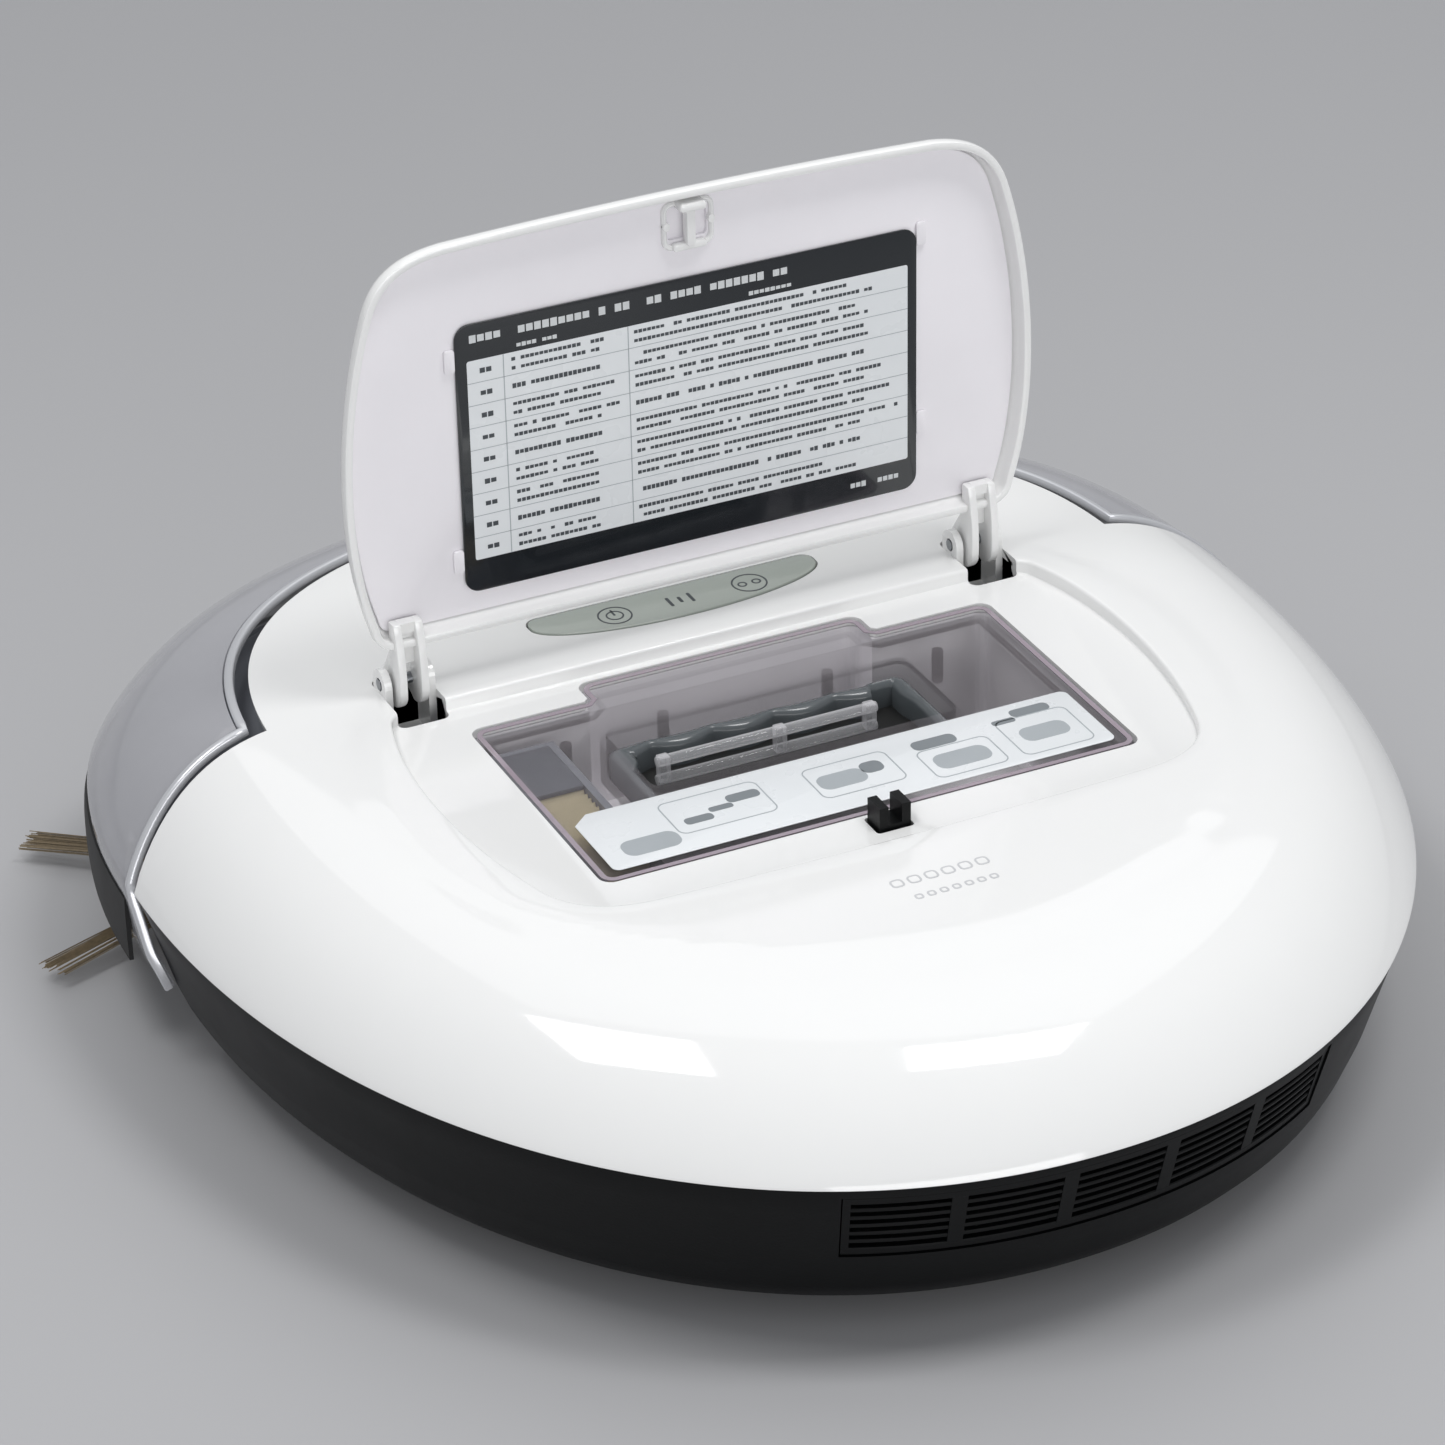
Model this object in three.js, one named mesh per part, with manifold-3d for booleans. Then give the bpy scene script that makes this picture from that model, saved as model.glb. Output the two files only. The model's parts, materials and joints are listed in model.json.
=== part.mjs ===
// Robot vacuum cleaner with its dust-bin lid open. Millimetres, +Z up, front towards +Y.
// Working frame: x = 0 on the centre line, y = 0 near the middle of the dust bin, z = 0 on the floor.
import * as THREE from 'three';
import { mergeVertices } from 'three/addons/utils/BufferGeometryUtils.js';
import Module from 'manifold-3d';

const wasm = await Module();
wasm.setup();

// ---------- driving dimensions ----------
const BODY_HALF_WIDTH = 160;       // widest point of the shell
const WIDEST_Y = 40;               // where the body is widest
const REAR_LENGTH = 201;           // widest point to the rear
const FRONT_LENGTH = 137;          // widest point to the front of the bumper skin
const REAR_POWER = 2.08;           // roundness of the rear half
const FRONT_POWER = 2.6;           // squareness of the front half
const RING_POINTS = 72;            // points round the body

const SEAM_Z = 49;                 // where the white cover meets the black base
const BASE_BOTTOM_Z = 9;           // clearance under the base
const DOME_RISE = 29.5;            // seam to the flat top, at mid length
const DOME_TILT = 0.015;           // the top rises this much for each millimetre forward
const DOME_RUN = 61.6;             // seam edge to the flat top, inwards
const DOME_POWER = 3.2;
const DOME_SHARPNESS = 0.9;
const SHELL_WALL = 2.5;
const GAP = 0.3;                   // clearance between pieces that touch
const FIT = 0.8;                   // visible shut lines

const RECESS_FLOOR_Z = 76;         // floor of the lid recess
const LID_SPAN_FRONT = 47.5;       // closed lid, front edge
const LID_SPAN_REAR = -58.5;       // closed lid, corners of the rear edge
const LID_PANEL_Z = 81.5;          // closed lid, inner face
const LID_RIM_Z = 77.2;            // closed lid, lower edge of the rim
const LID_CROWN_Z = 87;            // closed lid, highest point
const LID_WALL = 2.2;
const HINGE_Y = 58.5;
const HINGE_Z = 82;
const HINGE_X = 80.5;
const HINGE_PIN_R = 1.5;
const ARM_WIDTH = 8;
const LID_OPEN_TURN = -Math.PI / 2;
const LATCH_Y = -50;

const BIN_HALF_WIDTH = 72;
const BIN_REAR_Y = -44;
const BIN_FRONT_Y = 36;
const BIN_BOTTOM_Z = 40;
const BIN_WALL = 1.8;
const BIN_TAB_HALF_WIDTH = 39;
const BIN_TAB_LENGTH = 9;

const BUMPER_BAND = 41;            // how far the bumper reaches in over the top
const BUMPER_GAP = 3.6;            // room behind the bumper for its travel
const BUMPER_WALL = 2.5;
const BUMPER_BOTTOM_Z = 22;
const BUMPER_SIDE_Y = 44;          // rear edge of the bumper at the seam
const BUMPER_SIDE_LEAN = 0.4;      // the edge leans forward with height
const STRIP_REACH = 7;             // how far the rubber strip stands out at the nose
const STRIP_PROUD = 0.2;           // how far it stands out everywhere

const WHEEL_R = 35;
const WHEEL_WIDTH = 16;
const WHEEL_X = 118;
const WHEEL_Y = -8;
const ARM_X = [91, 104.5];          // the suspension arm, inboard of the wheel
const ARM_PIVOT_Y = 32;
const ARM_PIVOT_Z = 38;

const BRUSH_Y = -72;
const BRUSH_Z = 21;
const BRUSH_R = 19.2;
const BRUSH_HALF_LENGTH = 82;

const SIDE_BRUSH_X = 108;
const SIDE_BRUSH_Y = 108;
const SIDE_BRUSH_REACH = 66;
const SIDE_BRUSH_ARMS = 6;

const CASTER_Y = 126;
const CASTER_R = 12;
const CASTER_TRAIL = 7;

const FAN_X = 44;
const FAN_Y = -119.5;
const FAN_R = 19.5;

const CONTACT = { x0: 30, x1: 40, y0: 104, y1: 112 };

// ---------- finishes ----------
const finish = (color, roughness, metalness = 0, opacity = 1) =>
  new THREE.MeshStandardMaterial({ color, roughness, metalness, opacity, transparent: opacity < 1 });
const WHITE = finish(0xf4f4f2, 0.15);
const BLACK = finish(0x1b1c1e, 0.5);
const GREY = finish(0x63666a, 0.5);
const CLEAR = finish(0xa69aa8, 0.1, 0, 0.4);
const SMOKE = finish(0x9a9ca2, 0.15, 0, 0.7);
const SILVER = finish(0xc8c9cc, 0.25, 0.9);
const STEEL = finish(0x9da0a4, 0.35, 1);
const RUBBER = finish(0x161616, 0.8);
const BRISTLE = finish(0x6d5d48, 0.8);
const PANEL = finish(0xb9c0b8, 0.3);
const LABEL = finish(0xdde1e4, 0.4);
const STICKER = finish(0xdde1e6, 0.4);
const PAPER = finish(0xc9bfa6, 0.9);
const BOARD = finish(0x1f5b3a, 0.5);
const BLUE = finish(0x2d4f86, 0.5);

// ---------- solids ----------
const solidOf = (geometry) => {
  const bare = geometry.index ? geometry.toNonIndexed() : geometry.clone();
  bare.deleteAttribute('normal');
  bare.deleteAttribute('uv');
  const merged = mergeVertices(bare, 1e-4);
  return new wasm.Manifold(new wasm.Mesh({
    numProp: 3,
    vertProperties: new Float32Array(merged.attributes.position.array),
    triVerts: new Uint32Array(merged.index.array),
  }));
};

const geometryOf = (solid) => {
  const mesh = solid.getMesh();
  const geometry = new THREE.BufferGeometry();
  geometry.setAttribute('position', new THREE.BufferAttribute(new Float32Array(mesh.vertProperties), 3));
  geometry.setIndex(new THREE.BufferAttribute(new Uint32Array(mesh.triVerts), 1));
  geometry.computeVertexNormals();
  return geometry;
};

const box = (x0, x1, y0, y1, z0, z1) => {
  const geometry = new THREE.BoxGeometry(x1 - x0, y1 - y0, z1 - z0);
  geometry.translate((x0 + x1) / 2, (y0 + y1) / 2, (z0 + z1) / 2);
  return solidOf(geometry);
};

// A round bar from one end to the other along x, y or z.
const rod = (axis, radius, start, end, a, b, sides = 24) => {
  const geometry = new THREE.CylinderGeometry(radius, radius, end - start, sides);
  const middle = (start + end) / 2;
  if (axis === 'x') geometry.rotateZ(Math.PI / 2).translate(middle, a, b);
  if (axis === 'y') geometry.translate(a, middle, b);
  if (axis === 'z') geometry.rotateX(Math.PI / 2).translate(a, b, middle);
  return solidOf(geometry);
};

// A closed skin through rings of points; each ring is { points, z }, from the bottom up.
const loft = (rings) => {
  const count = rings[0].points.length;
  const positions = [];
  const faces = [];
  const middle = (ring) => {
    const sum = ring.points.reduce((total, [x, y]) => [total[0] + x, total[1] + y], [0, 0]);
    return [sum[0] / count, sum[1] / count];
  };
  for (const ring of rings) {
    ring.points.forEach(([x, y], i) => positions.push(x, y, ring.heights ? ring.heights[i] : ring.z));
  }
  for (const [ring, z] of [[rings[0], rings[0].z], [rings.at(-1), rings.at(-1).z]]) {
    const [x, y] = middle(ring);
    positions.push(x, y, ring.apex ?? z);
  }
  const bottom = rings.length * count;
  for (let k = 0; k + 1 < rings.length; k += 1) {
    for (let i = 0; i < count; i += 1) {
      const a = k * count + i;
      const b = k * count + (i + 1) % count;
      faces.push(a, b, b + count, a, b + count, a + count);
    }
  }
  for (let i = 0; i < count; i += 1) {
    const j = (i + 1) % count;
    const top = (rings.length - 1) * count;
    faces.push(bottom, j, i, bottom + 1, top + i, top + j);
  }
  return new wasm.Manifold(new wasm.Mesh({
    numProp: 3,
    vertProperties: new Float32Array(positions),
    triVerts: new Uint32Array(faces),
  }));
};

const prism = (points, z0, z1) => loft([{ points, z: z0 }, { points, z: z1 }]);

// A flat plate cut from an outline in the y-z plane, from x0 to x1.
const sidePlate = (shape, x0, x1, segments = 8) => {
  const geometry = new THREE.ExtrudeGeometry(shape, { depth: x1 - x0, bevelEnabled: false, curveSegments: segments });
  geometry.applyMatrix4(new THREE.Matrix4().makeBasis(
    new THREE.Vector3(0, 1, 0), new THREE.Vector3(0, 0, 1), new THREE.Vector3(1, 0, 0)));
  geometry.translate(x0, 0, 0);
  return solidOf(geometry);
};

const joined = (first, ...others) => others.reduce((sum, next) => sum.add(next), first);
const cut = (first, ...others) => others.reduce((rest, next) => rest.subtract(next), first);
const mirrored = (solid) => solid.mirror([1, 0, 0]);

// ---------- outlines ----------
const power = (value, exponent) => Math.sign(value) * Math.abs(value) ** exponent;

// The body's plan outline, moved inwards by inset; frontInset moves its front half further in.
const bodyRing = (inset, frontInset = 0, count = RING_POINTS) => {
  const points = [];
  for (let i = 0; i < count; i += 1) {
    const angle = (2 * Math.PI * i) / count;
    const front = Math.sin(angle) > 0;
    const exponent = 2 / (front ? FRONT_POWER : REAR_POWER);
    const halfWidth = BODY_HALF_WIDTH - inset - frontInset;
    const length = (front ? FRONT_LENGTH - frontInset : REAR_LENGTH) - inset;
    points.push([
      halfWidth * power(Math.cos(angle), exponent),
      WIDEST_Y + length * power(Math.sin(angle), exponent),
    ]);
  }
  return points;
};

// Height of the cover over the floor, inset from the seam, at a place y.
const domeHeight = (inset, y) => {
  const share = Math.min(inset / DOME_RUN, 1);
  const rise = (1 - (1 - share) ** DOME_POWER) ** DOME_SHARPNESS;
  return SEAM_Z + (DOME_RISE + DOME_TILT * y) * rise;
};

const domeSolid = (offset, bottomZ, insets) => loft([
  { points: bodyRing(offset), z: bottomZ },
  ...insets.map((inset) => {
    const points = bodyRing(inset + offset);
    return { points, heights: points.map(([, y]) => domeHeight(inset, y) - offset), z: 0 };
  }),
].map((ring, i, all) => (i === all.length - 1
  ? { ...ring, apex: domeHeight(DOME_RUN, 0) - offset }
  : ring)));
const DOME_STEPS = [0, 2, 6, 12, 19, 27, 36, 46, 60];
const INNER_STEPS = [0, 6, 19, 36, 60];

// The lid's outline, closed, from its front corners round to its rear corners.
const lidShape = () => {
  const shape = new THREE.Shape();
  shape.moveTo(82, LID_SPAN_FRONT);
  shape.lineTo(-82, LID_SPAN_FRONT);
  shape.quadraticCurveTo(-89, LID_SPAN_FRONT, -90, 41);
  shape.bezierCurveTo(-97.5, 18, -96, -16, -88, -42);
  shape.bezierCurveTo(-85, -53, -78, -57.5, -66, LID_SPAN_REAR);
  shape.quadraticCurveTo(0, LID_SPAN_REAR - 2.5, 66, LID_SPAN_REAR);
  shape.bezierCurveTo(78, -57.5, 85, -53, 88, -42);
  shape.bezierCurveTo(96, -16, 97.5, 18, 90, 41);
  shape.quadraticCurveTo(89, LID_SPAN_FRONT, 82, LID_SPAN_FRONT);
  return shape;
};

const cleanPoints = (shape, divisions) => {
  const points = shape.getPoints(divisions).map(({ x, y }) => [x, y]);
  const kept = points.filter(([x, y], i) => {
    const [px, py] = points[(i + points.length - 1) % points.length];
    return Math.hypot(x - px, y - py) > 0.05;
  });
  const area = kept.reduce((sum, [x, y], i) => {
    const [nx, ny] = kept[(i + 1) % kept.length];
    return sum + x * ny - nx * y;
  }, 0);
  return area < 0 ? kept.reverse() : kept;
};

// An outline moved inwards (or outwards, if the distance is negative) along its normals.
const inset = (points, distance) => points.map(([x, y], i) => {
  const [ax, ay] = points[(i + points.length - 1) % points.length];
  const [bx, by] = points[(i + 1) % points.length];
  const length = Math.hypot(bx - ax, by - ay);
  return [x - distance * (by - ay) / length, y + distance * (bx - ax) / length];
});

const roundedRect = (x0, x1, y0, y1, radius, segments = 4) => {
  const points = [];
  const corners = [[x1 - radius, y1 - radius, 0], [x0 + radius, y1 - radius, 1],
    [x0 + radius, y0 + radius, 2], [x1 - radius, y0 + radius, 3]];
  for (const [cx, cy, quarter] of corners) {
    for (let i = 0; i <= segments; i += 1) {
      const angle = (quarter + i / segments) * Math.PI / 2;
      points.push([cx + radius * Math.cos(angle), cy + radius * Math.sin(angle)]);
    }
  }
  return points;
};

// ---------- the object ----------
const robot = new THREE.Group();
const add = (name, solid, material, parent = robot) => {
  const mesh = new THREE.Mesh(geometryOf(solid), material);
  mesh.name = name;
  parent.add(mesh);
};
const addPair = (name, solid, material, parent = robot) => {
  add(`${name}_left`, mirrored(solid), material, parent);
  add(`${name}_right`, solid, material, parent);
};

// Everything in front of the bumper's rear edge, moved back by slack.
const inFrontOfEdge = (slack) => {
  const edge = (z) => BUMPER_SIDE_Y + BUMPER_SIDE_LEAN * (z - SEAM_Z) + slack;
  const shape = new THREE.Shape();
  shape.moveTo(edge(0), 0);
  shape.lineTo(260, 0);
  shape.lineTo(260, 120);
  shape.lineTo(edge(120), 120);
  return sidePlate(shape, -260, 260);
};

const LID_OUTLINE = cleanPoints(lidShape(), 6);
const HINGE_POCKET = { x0: HINGE_X - 7.2, x1: HINGE_X + 7.2, y0: 44, y1: 67 };
const hingePocket = box(HINGE_POCKET.x0, HINGE_POCKET.x1, HINGE_POCKET.y0, HINGE_POCKET.y1, 60, 100);

const binOutline = (grow) => {
  const x = BIN_HALF_WIDTH + grow;
  const tab = BIN_TAB_HALF_WIDTH + grow;
  return joined(
    prism(roundedRect(-x, x, BIN_REAR_Y - grow, BIN_FRONT_Y + grow, 3), 0, 1),
    prism(roundedRect(-tab, tab, 0, BIN_FRONT_Y + BIN_TAB_LENGTH + grow, 3), 0, 1),
  );
};
const binBlock = (grow, z0, z1) => binOutline(grow).scale([1, 1, z1 - z0]).translate([0, 0, z0]);

// White top cover: a dome with the lid recess, the bin opening and two hinge pockets.
const topShell = () => {
  const outer = domeSolid(0, SEAM_Z, DOME_STEPS);
  const inner = domeSolid(SHELL_WALL, SEAM_Z - 5, INNER_STEPS);
  const tray = prism(inset(LID_OUTLINE, -FIT - SHELL_WALL), RECESS_FLOOR_Z - SHELL_WALL, 120).intersect(outer);
  const band = cut(inFrontOfEdge(0), prism(bodyRing(BUMPER_BAND), 0, 120));
  return cut(
    joined(cut(outer, inner), tray),
    prism(inset(LID_OUTLINE, -FIT), RECESS_FLOOR_Z, 120),
    binBlock(FIT, 0, 120),
    hingePocket, mirrored(hingePocket),
    prism(roundedRect(-41, 41, 59.5, 76, 5), RECESS_FLOOR_Z + 1.2, 120),
    rod('z', 9 + GAP, 0, 120, 0, 106),
    box(-5, 5, LATCH_Y - 4, LATCH_Y + 4, 0, 120),
    band,
  );
};
add('top_shell', topShell(), WHITE);

// Black base: walls that lean in, a floor, and openings for all that reaches the ground.
const BASE_STEPS = [[0.6, SEAM_Z - GAP], [8, 22], [11, 14], [15, BASE_BOTTOM_Z]];
const FRONT_SETBACK = BUMPER_WALL + BUMPER_GAP + 2.4;
const baseLoft = (wall, frontInset, extra = 0) => loft(BASE_STEPS
  .map(([step, z], i) => ({
    points: bodyRing(step + wall + extra, frontInset),
    z: i === 0 ? z + (wall ? 5 : 0) : z + wall,
  }))
  .reverse());
const WELL_X = [ARM_X[0] - 1.7, WHEEL_X + WHEEL_WIDTH / 2 + 3];
const wheelWell = box(WELL_X[0], WELL_X[1], WHEEL_Y - WHEEL_R - 4,
  WHEEL_Y + WHEEL_R + 4, 0, 48);
const GRILLE_START = -1.89;        // where the grille starts round the tail, in radians
const GRILLE_SWEEP = 0.68;
const grilleSector = (grow, z0, z1) => {
  const points = [[0, WIDEST_Y]];
  const steps = 6;
  for (let i = 0; i <= steps; i += 1) {
    const angle = GRILLE_START + grow * -0.008 + (GRILLE_SWEEP + 0.016 * grow) * (i / steps);
    points.push([260 * Math.cos(angle), WIDEST_Y + 260 * Math.sin(angle)]);
  }
  return prism(points, z0, z1);
};
const GRILLE_Z = [26, 46];

const contactHole = box(CONTACT.x0 - GAP, CONTACT.x1 + GAP, CONTACT.y0 - GAP, CONTACT.y1 + GAP, 0, 20);

const baseShell = () => {
  const behind = inFrontOfEdge(0);
  const outer = joined(cut(baseLoft(0, 0), behind), baseLoft(0, FRONT_SETBACK));
  const behindInner = inFrontOfEdge(-SHELL_WALL);
  const inner = joined(cut(baseLoft(SHELL_WALL, 0), behindInner), baseLoft(SHELL_WALL, FRONT_SETBACK));
  const slot = cut(
    grilleSector(0, GRILLE_Z[0], GRILLE_Z[1]),
    prism(bodyRing(20), 0, 60),
  );
  return cut(
    cut(outer, inner),
    slot,
    wheelWell, mirrored(wheelWell),
    box(-88, 88, BRUSH_Y - 24, BRUSH_Y + 24, 0, 20),
    rod('z', 14, 0, 20, SIDE_BRUSH_X, SIDE_BRUSH_Y), rod('z', 14, 0, 20, -SIDE_BRUSH_X, SIDE_BRUSH_Y),
    rod('z', 22, 0, 20, 0, CASTER_Y, 32),
    box(-68, 68, 50, 98, 0, 20),
    box(36, 52, 12, 22, 0, 20),
    contactHole, mirrored(contactHole),
  );
};
add('base_shell', baseShell(), BLACK);

// Exhaust grille: a curved band let into the rear wall, with bays of slats.
const exhaustGrille = () => {
  const skin = cut(baseLoft(0.4, 0), baseLoft(SHELL_WALL + 0.4, 0));
  let body = skin.intersect(grilleSector(-1, GRILLE_Z[0] + GAP, GRILLE_Z[1] - GAP));
  const bays = 5;
  const slats = 6;
  const start = GRILLE_START + 0.008;
  const sweep = GRILLE_SWEEP - 0.016;
  const pitch = (GRILLE_Z[1] - GRILLE_Z[0] - 4) / slats;
  for (let bay = 0; bay < bays; bay += 1) {
    const from = start + sweep * (bay + 0.07) / bays;
    const to = start + sweep * (bay + 0.93) / bays;
    const wedge = [[0, WIDEST_Y]];
    for (let i = 0; i <= 1; i += 1) {
      const angle = from + (to - from) * i;
      wedge.push([260 * Math.cos(angle), WIDEST_Y + 260 * Math.sin(angle)]);
    }
    for (let slat = 0; slat < slats; slat += 1) {
      const z = GRILLE_Z[0] + 2.6 + pitch * slat;
      body = cut(body, prism(wedge, z, z + pitch * 0.55));
    }
  }
  return body;
};
add('exhaust_grille', exhaustGrille(), BLACK);

// Inner front cover, seen through the bumper.
const frontCover = () => {
  const skin = cut(domeSolid(FRONT_SETBACK, SEAM_Z + GAP, INNER_STEPS),
    domeSolid(FRONT_SETBACK + 2, SEAM_Z - 5, INNER_STEPS));
  return cut(skin.intersect(inFrontOfEdge(2)), prism(bodyRing(BUMPER_BAND + 4), 0, 120));
};
add('front_cover', frontCover(), GREY);

// Bumper: a clear grey skin over the nose, a bright trim along its edge and a rubber strip low down.
const bumperSkin = (offset, steps = DOME_STEPS) => {
  const low = [[5, BUMPER_BOTTOM_Z], [1.5, 32], [0, SEAM_Z - 4]];
  const up = steps.slice(1);
  const rings = [
    ...low.map(([step, z]) => ({ points: bodyRing(step + offset), z })),
    ...up.map((step) => {
      const points = bodyRing(step + offset);
      return { points, heights: points.map(([, y]) => domeHeight(step, y) - offset), z: 0 };
    }),
  ];
  rings[0].z -= offset > 0 ? 3 : 0;
  rings.at(-1).apex = SEAM_Z + DOME_RISE - offset;
  return loft(rings);
};
const TRIM_WIDTH = 2.4;
const bumperRegion = (edge) => cut(inFrontOfEdge(BUMPER_GAP + edge),
  prism(bodyRing(BUMPER_BAND - BUMPER_GAP - edge), SEAM_Z + 12, 120));
const stripBand = (reach, z0, z1) => prism(bodyRing(-STRIP_PROUD).map(([x, y]) => {
  const share = Math.max(0, (y - WIDEST_Y - 12) / (FRONT_LENGTH - 12));
  return [x, y + reach * Math.min(1, 1.6 * share)];
}), z0, z1);
const bumperShell = () => cut(bumperSkin(0), bumperSkin(BUMPER_WALL, INNER_STEPS));
const STRIP_Z = [25, 43];
const stripBody = (grow) => {
  const thick = cut(stripBand(STRIP_REACH, STRIP_Z[0] - grow, STRIP_Z[1] + grow),
    prism(bodyRing(1 + grow), 0, 60));
  return thick.intersect(inFrontOfEdge(BUMPER_GAP + 11 - grow));
};
const bumper = () => {
  const body = bumperShell().intersect(bumperRegion(TRIM_WIDTH + GAP));
  return cut(body, stripBody(GAP));
};
const bumperTrim = () => {
  const skin = cut(bumperSkin(-0.5), bumperSkin(1.6)).intersect(prism(bodyRing(-5), SEAM_Z - 26.5, 120));
  return cut(skin.intersect(bumperRegion(0)), bumperRegion(TRIM_WIDTH));
};
add('bumper', bumper(), SMOKE);
add('bumper_trim', bumperTrim(), SILVER);
add('bumper_strip', stripBody(0), RUBBER);

// Control panel, ceiling camera window and the latch hook on the top cover.
add('control_panel', prism(roundedRect(-40.5, 40.5, 60, 75.5, 4.6), RECESS_FLOOR_Z + 2.2, 79.9), PANEL);
add('camera_window', rod('z', 9, 75, 79.9, 0, 106, 28), BLACK);
const latchHook = () => joined(
  box(-4.2, 4.2, LATCH_Y - 3.2, LATCH_Y + 3.2, 66, 77.2),
  box(-4.2, -1.8, LATCH_Y - 3.2, LATCH_Y + 3.2, 77, 82.2),
  box(1.8, 4.2, LATCH_Y - 3.2, LATCH_Y + 3.2, 77, 82.2),
);
add('latch_hook', latchHook(), BLACK);

// ---------- dust bin ----------
const binTub = () => cut(
  binBlock(0, BIN_BOTTOM_Z, 73.2).intersect(box(-200, 200, -200, BIN_FRONT_Y, 0, 200)),
  box(-BIN_HALF_WIDTH + BIN_WALL, BIN_HALF_WIDTH - BIN_WALL, BIN_REAR_Y + BIN_WALL, BIN_FRONT_Y - BIN_WALL,
    BIN_BOTTOM_Z + BIN_WALL, 100),
  box(-30, 30, BIN_REAR_Y - 5, BIN_REAR_Y + 5, 48, 64),
);
const HANDLE_WELL = { x0: -43, x1: 41, y0: -9, y1: 22, z: 63 };
const binCover = () => {
  const { x0, x1, y0, y1, z } = HANDLE_WELL;
  const plate = binBlock(0, 73.5, 75.6);
  const cup = prism(roundedRect(x0 - 1.6, x1 + 1.6, y0 - 1.6, y1 + 1.6, 4), z - 1.6, 75);
  return cut(joined(plate, cup), prism(roundedRect(x0, x1, y0, y1, 3), z, 100));
};
const binHandle = () => joined(
  rod('x', 1.6, -35, 25, 6.5, 72.6, 12),
  box(-35, -32, 5.2, 7.8, 66.6, 72.6),
  box(-3, 0, 5.2, 7.8, 66.6, 72.6),
  box(22, 25, 5.2, 7.8, 66.6, 72.6),
  rod('x', 1.6, -35, 25, 6.5, 66.4, 12),
);
const binWell = () => cut(
  binBlock(FIT + 1.6, BIN_BOTTOM_Z - 2.4, RECESS_FLOOR_Z - SHELL_WALL - GAP),
  binBlock(FIT, BIN_BOTTOM_Z - GAP, 100),
  box(-30, 30, BIN_REAR_Y - 5, BIN_REAR_Y + 5, 48, 64),
);
add('bin_tub', binTub(), CLEAR);
add('bin_cover', binCover(), CLEAR);
add('bin_sticker', prism(roundedRect(4 - BIN_HALF_WIDTH, BIN_HALF_WIDTH - 4, -40.5, -13.5, 2), 75.9, 76.2), STICKER);
add('bin_handle', binHandle(), CLEAR);
add('bin_well', binWell(), BLACK);
add('filter_frame', cut(
  box(2.5 - BIN_HALF_WIDTH, 20 - BIN_HALF_WIDTH, BIN_REAR_Y + 4, BIN_FRONT_Y - 4, 43, 70),
  box(4.5 - BIN_HALF_WIDTH, 18 - BIN_HALF_WIDTH, BIN_REAR_Y + 6, BIN_FRONT_Y - 6, 45, 90),
), GREY);
add('filter', box(4.8 - BIN_HALF_WIDTH, 17.7 - BIN_HALF_WIDTH, BIN_REAR_Y + 6.3, BIN_FRONT_Y - 6.3, 45.3, 69), PAPER);

// ---------- lid, modelled closed and turned open about its hinge ----------
const lidTurn = new THREE.Group();
const lid = new THREE.Group();
lidTurn.position.set(0, HINGE_Y, HINGE_Z);
lidTurn.rotation.x = LID_OPEN_TURN;
lid.position.set(0, -HINGE_Y, -HINGE_Z);
lidTurn.add(lid);
robot.add(lidTurn);

const lidOuter = () => {
  const top = LID_CROWN_Z;
  const rings = [[0, LID_RIM_Z], [0, top - 7.4], [1.4, top - 5], [5, top - 2.8], [12, top - 1.7], [29, top - 0.7]];
  const outer = loft(rings.map(([step, z], i) => ({
    points: inset(LID_OUTLINE, step), z, apex: i === rings.length - 1 ? top : undefined,
  })));
  const cavity = [[LID_WALL, LID_RIM_Z - 2], [LID_WALL, top - 7.4], [LID_WALL + 2, LID_PANEL_Z + 1.8]];
  const notch = box(HINGE_X - ARM_WIDTH / 2 - GAP, HINGE_X + ARM_WIDTH / 2 + GAP, 43.9, 50, 70, LID_PANEL_Z - 0.2);
  return cut(outer, loft(cavity.map(([step, z]) => ({ points: inset(LID_OUTLINE, step), z }))),
    notch, mirrored(notch));
};
const latchOpening = box(-5.4, 5.4, LATCH_Y - 4.6, LATCH_Y + 4.6, 60, LID_PANEL_Z + 2);
add('lid_outer', lidOuter(), WHITE, lid);
add('lid_panel', cut(prism(inset(LID_OUTLINE, LID_WALL + 2.6), LID_PANEL_Z, LID_PANEL_Z + 1.5), latchOpening),
  WHITE, lid);
add('lid_label', prism(roundedRect(-63.2, 63.2, -35, 38.2, 4), LID_PANEL_Z - 0.8, LID_PANEL_Z - GAP), LABEL, lid);
add('lid_latch_housing', cut(prism(roundedRect(-8, 8, LATCH_Y - 5.8, LATCH_Y + 7.5, 1.5), 76.6, LID_PANEL_Z - GAP),
  latchOpening), WHITE, lid);

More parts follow.
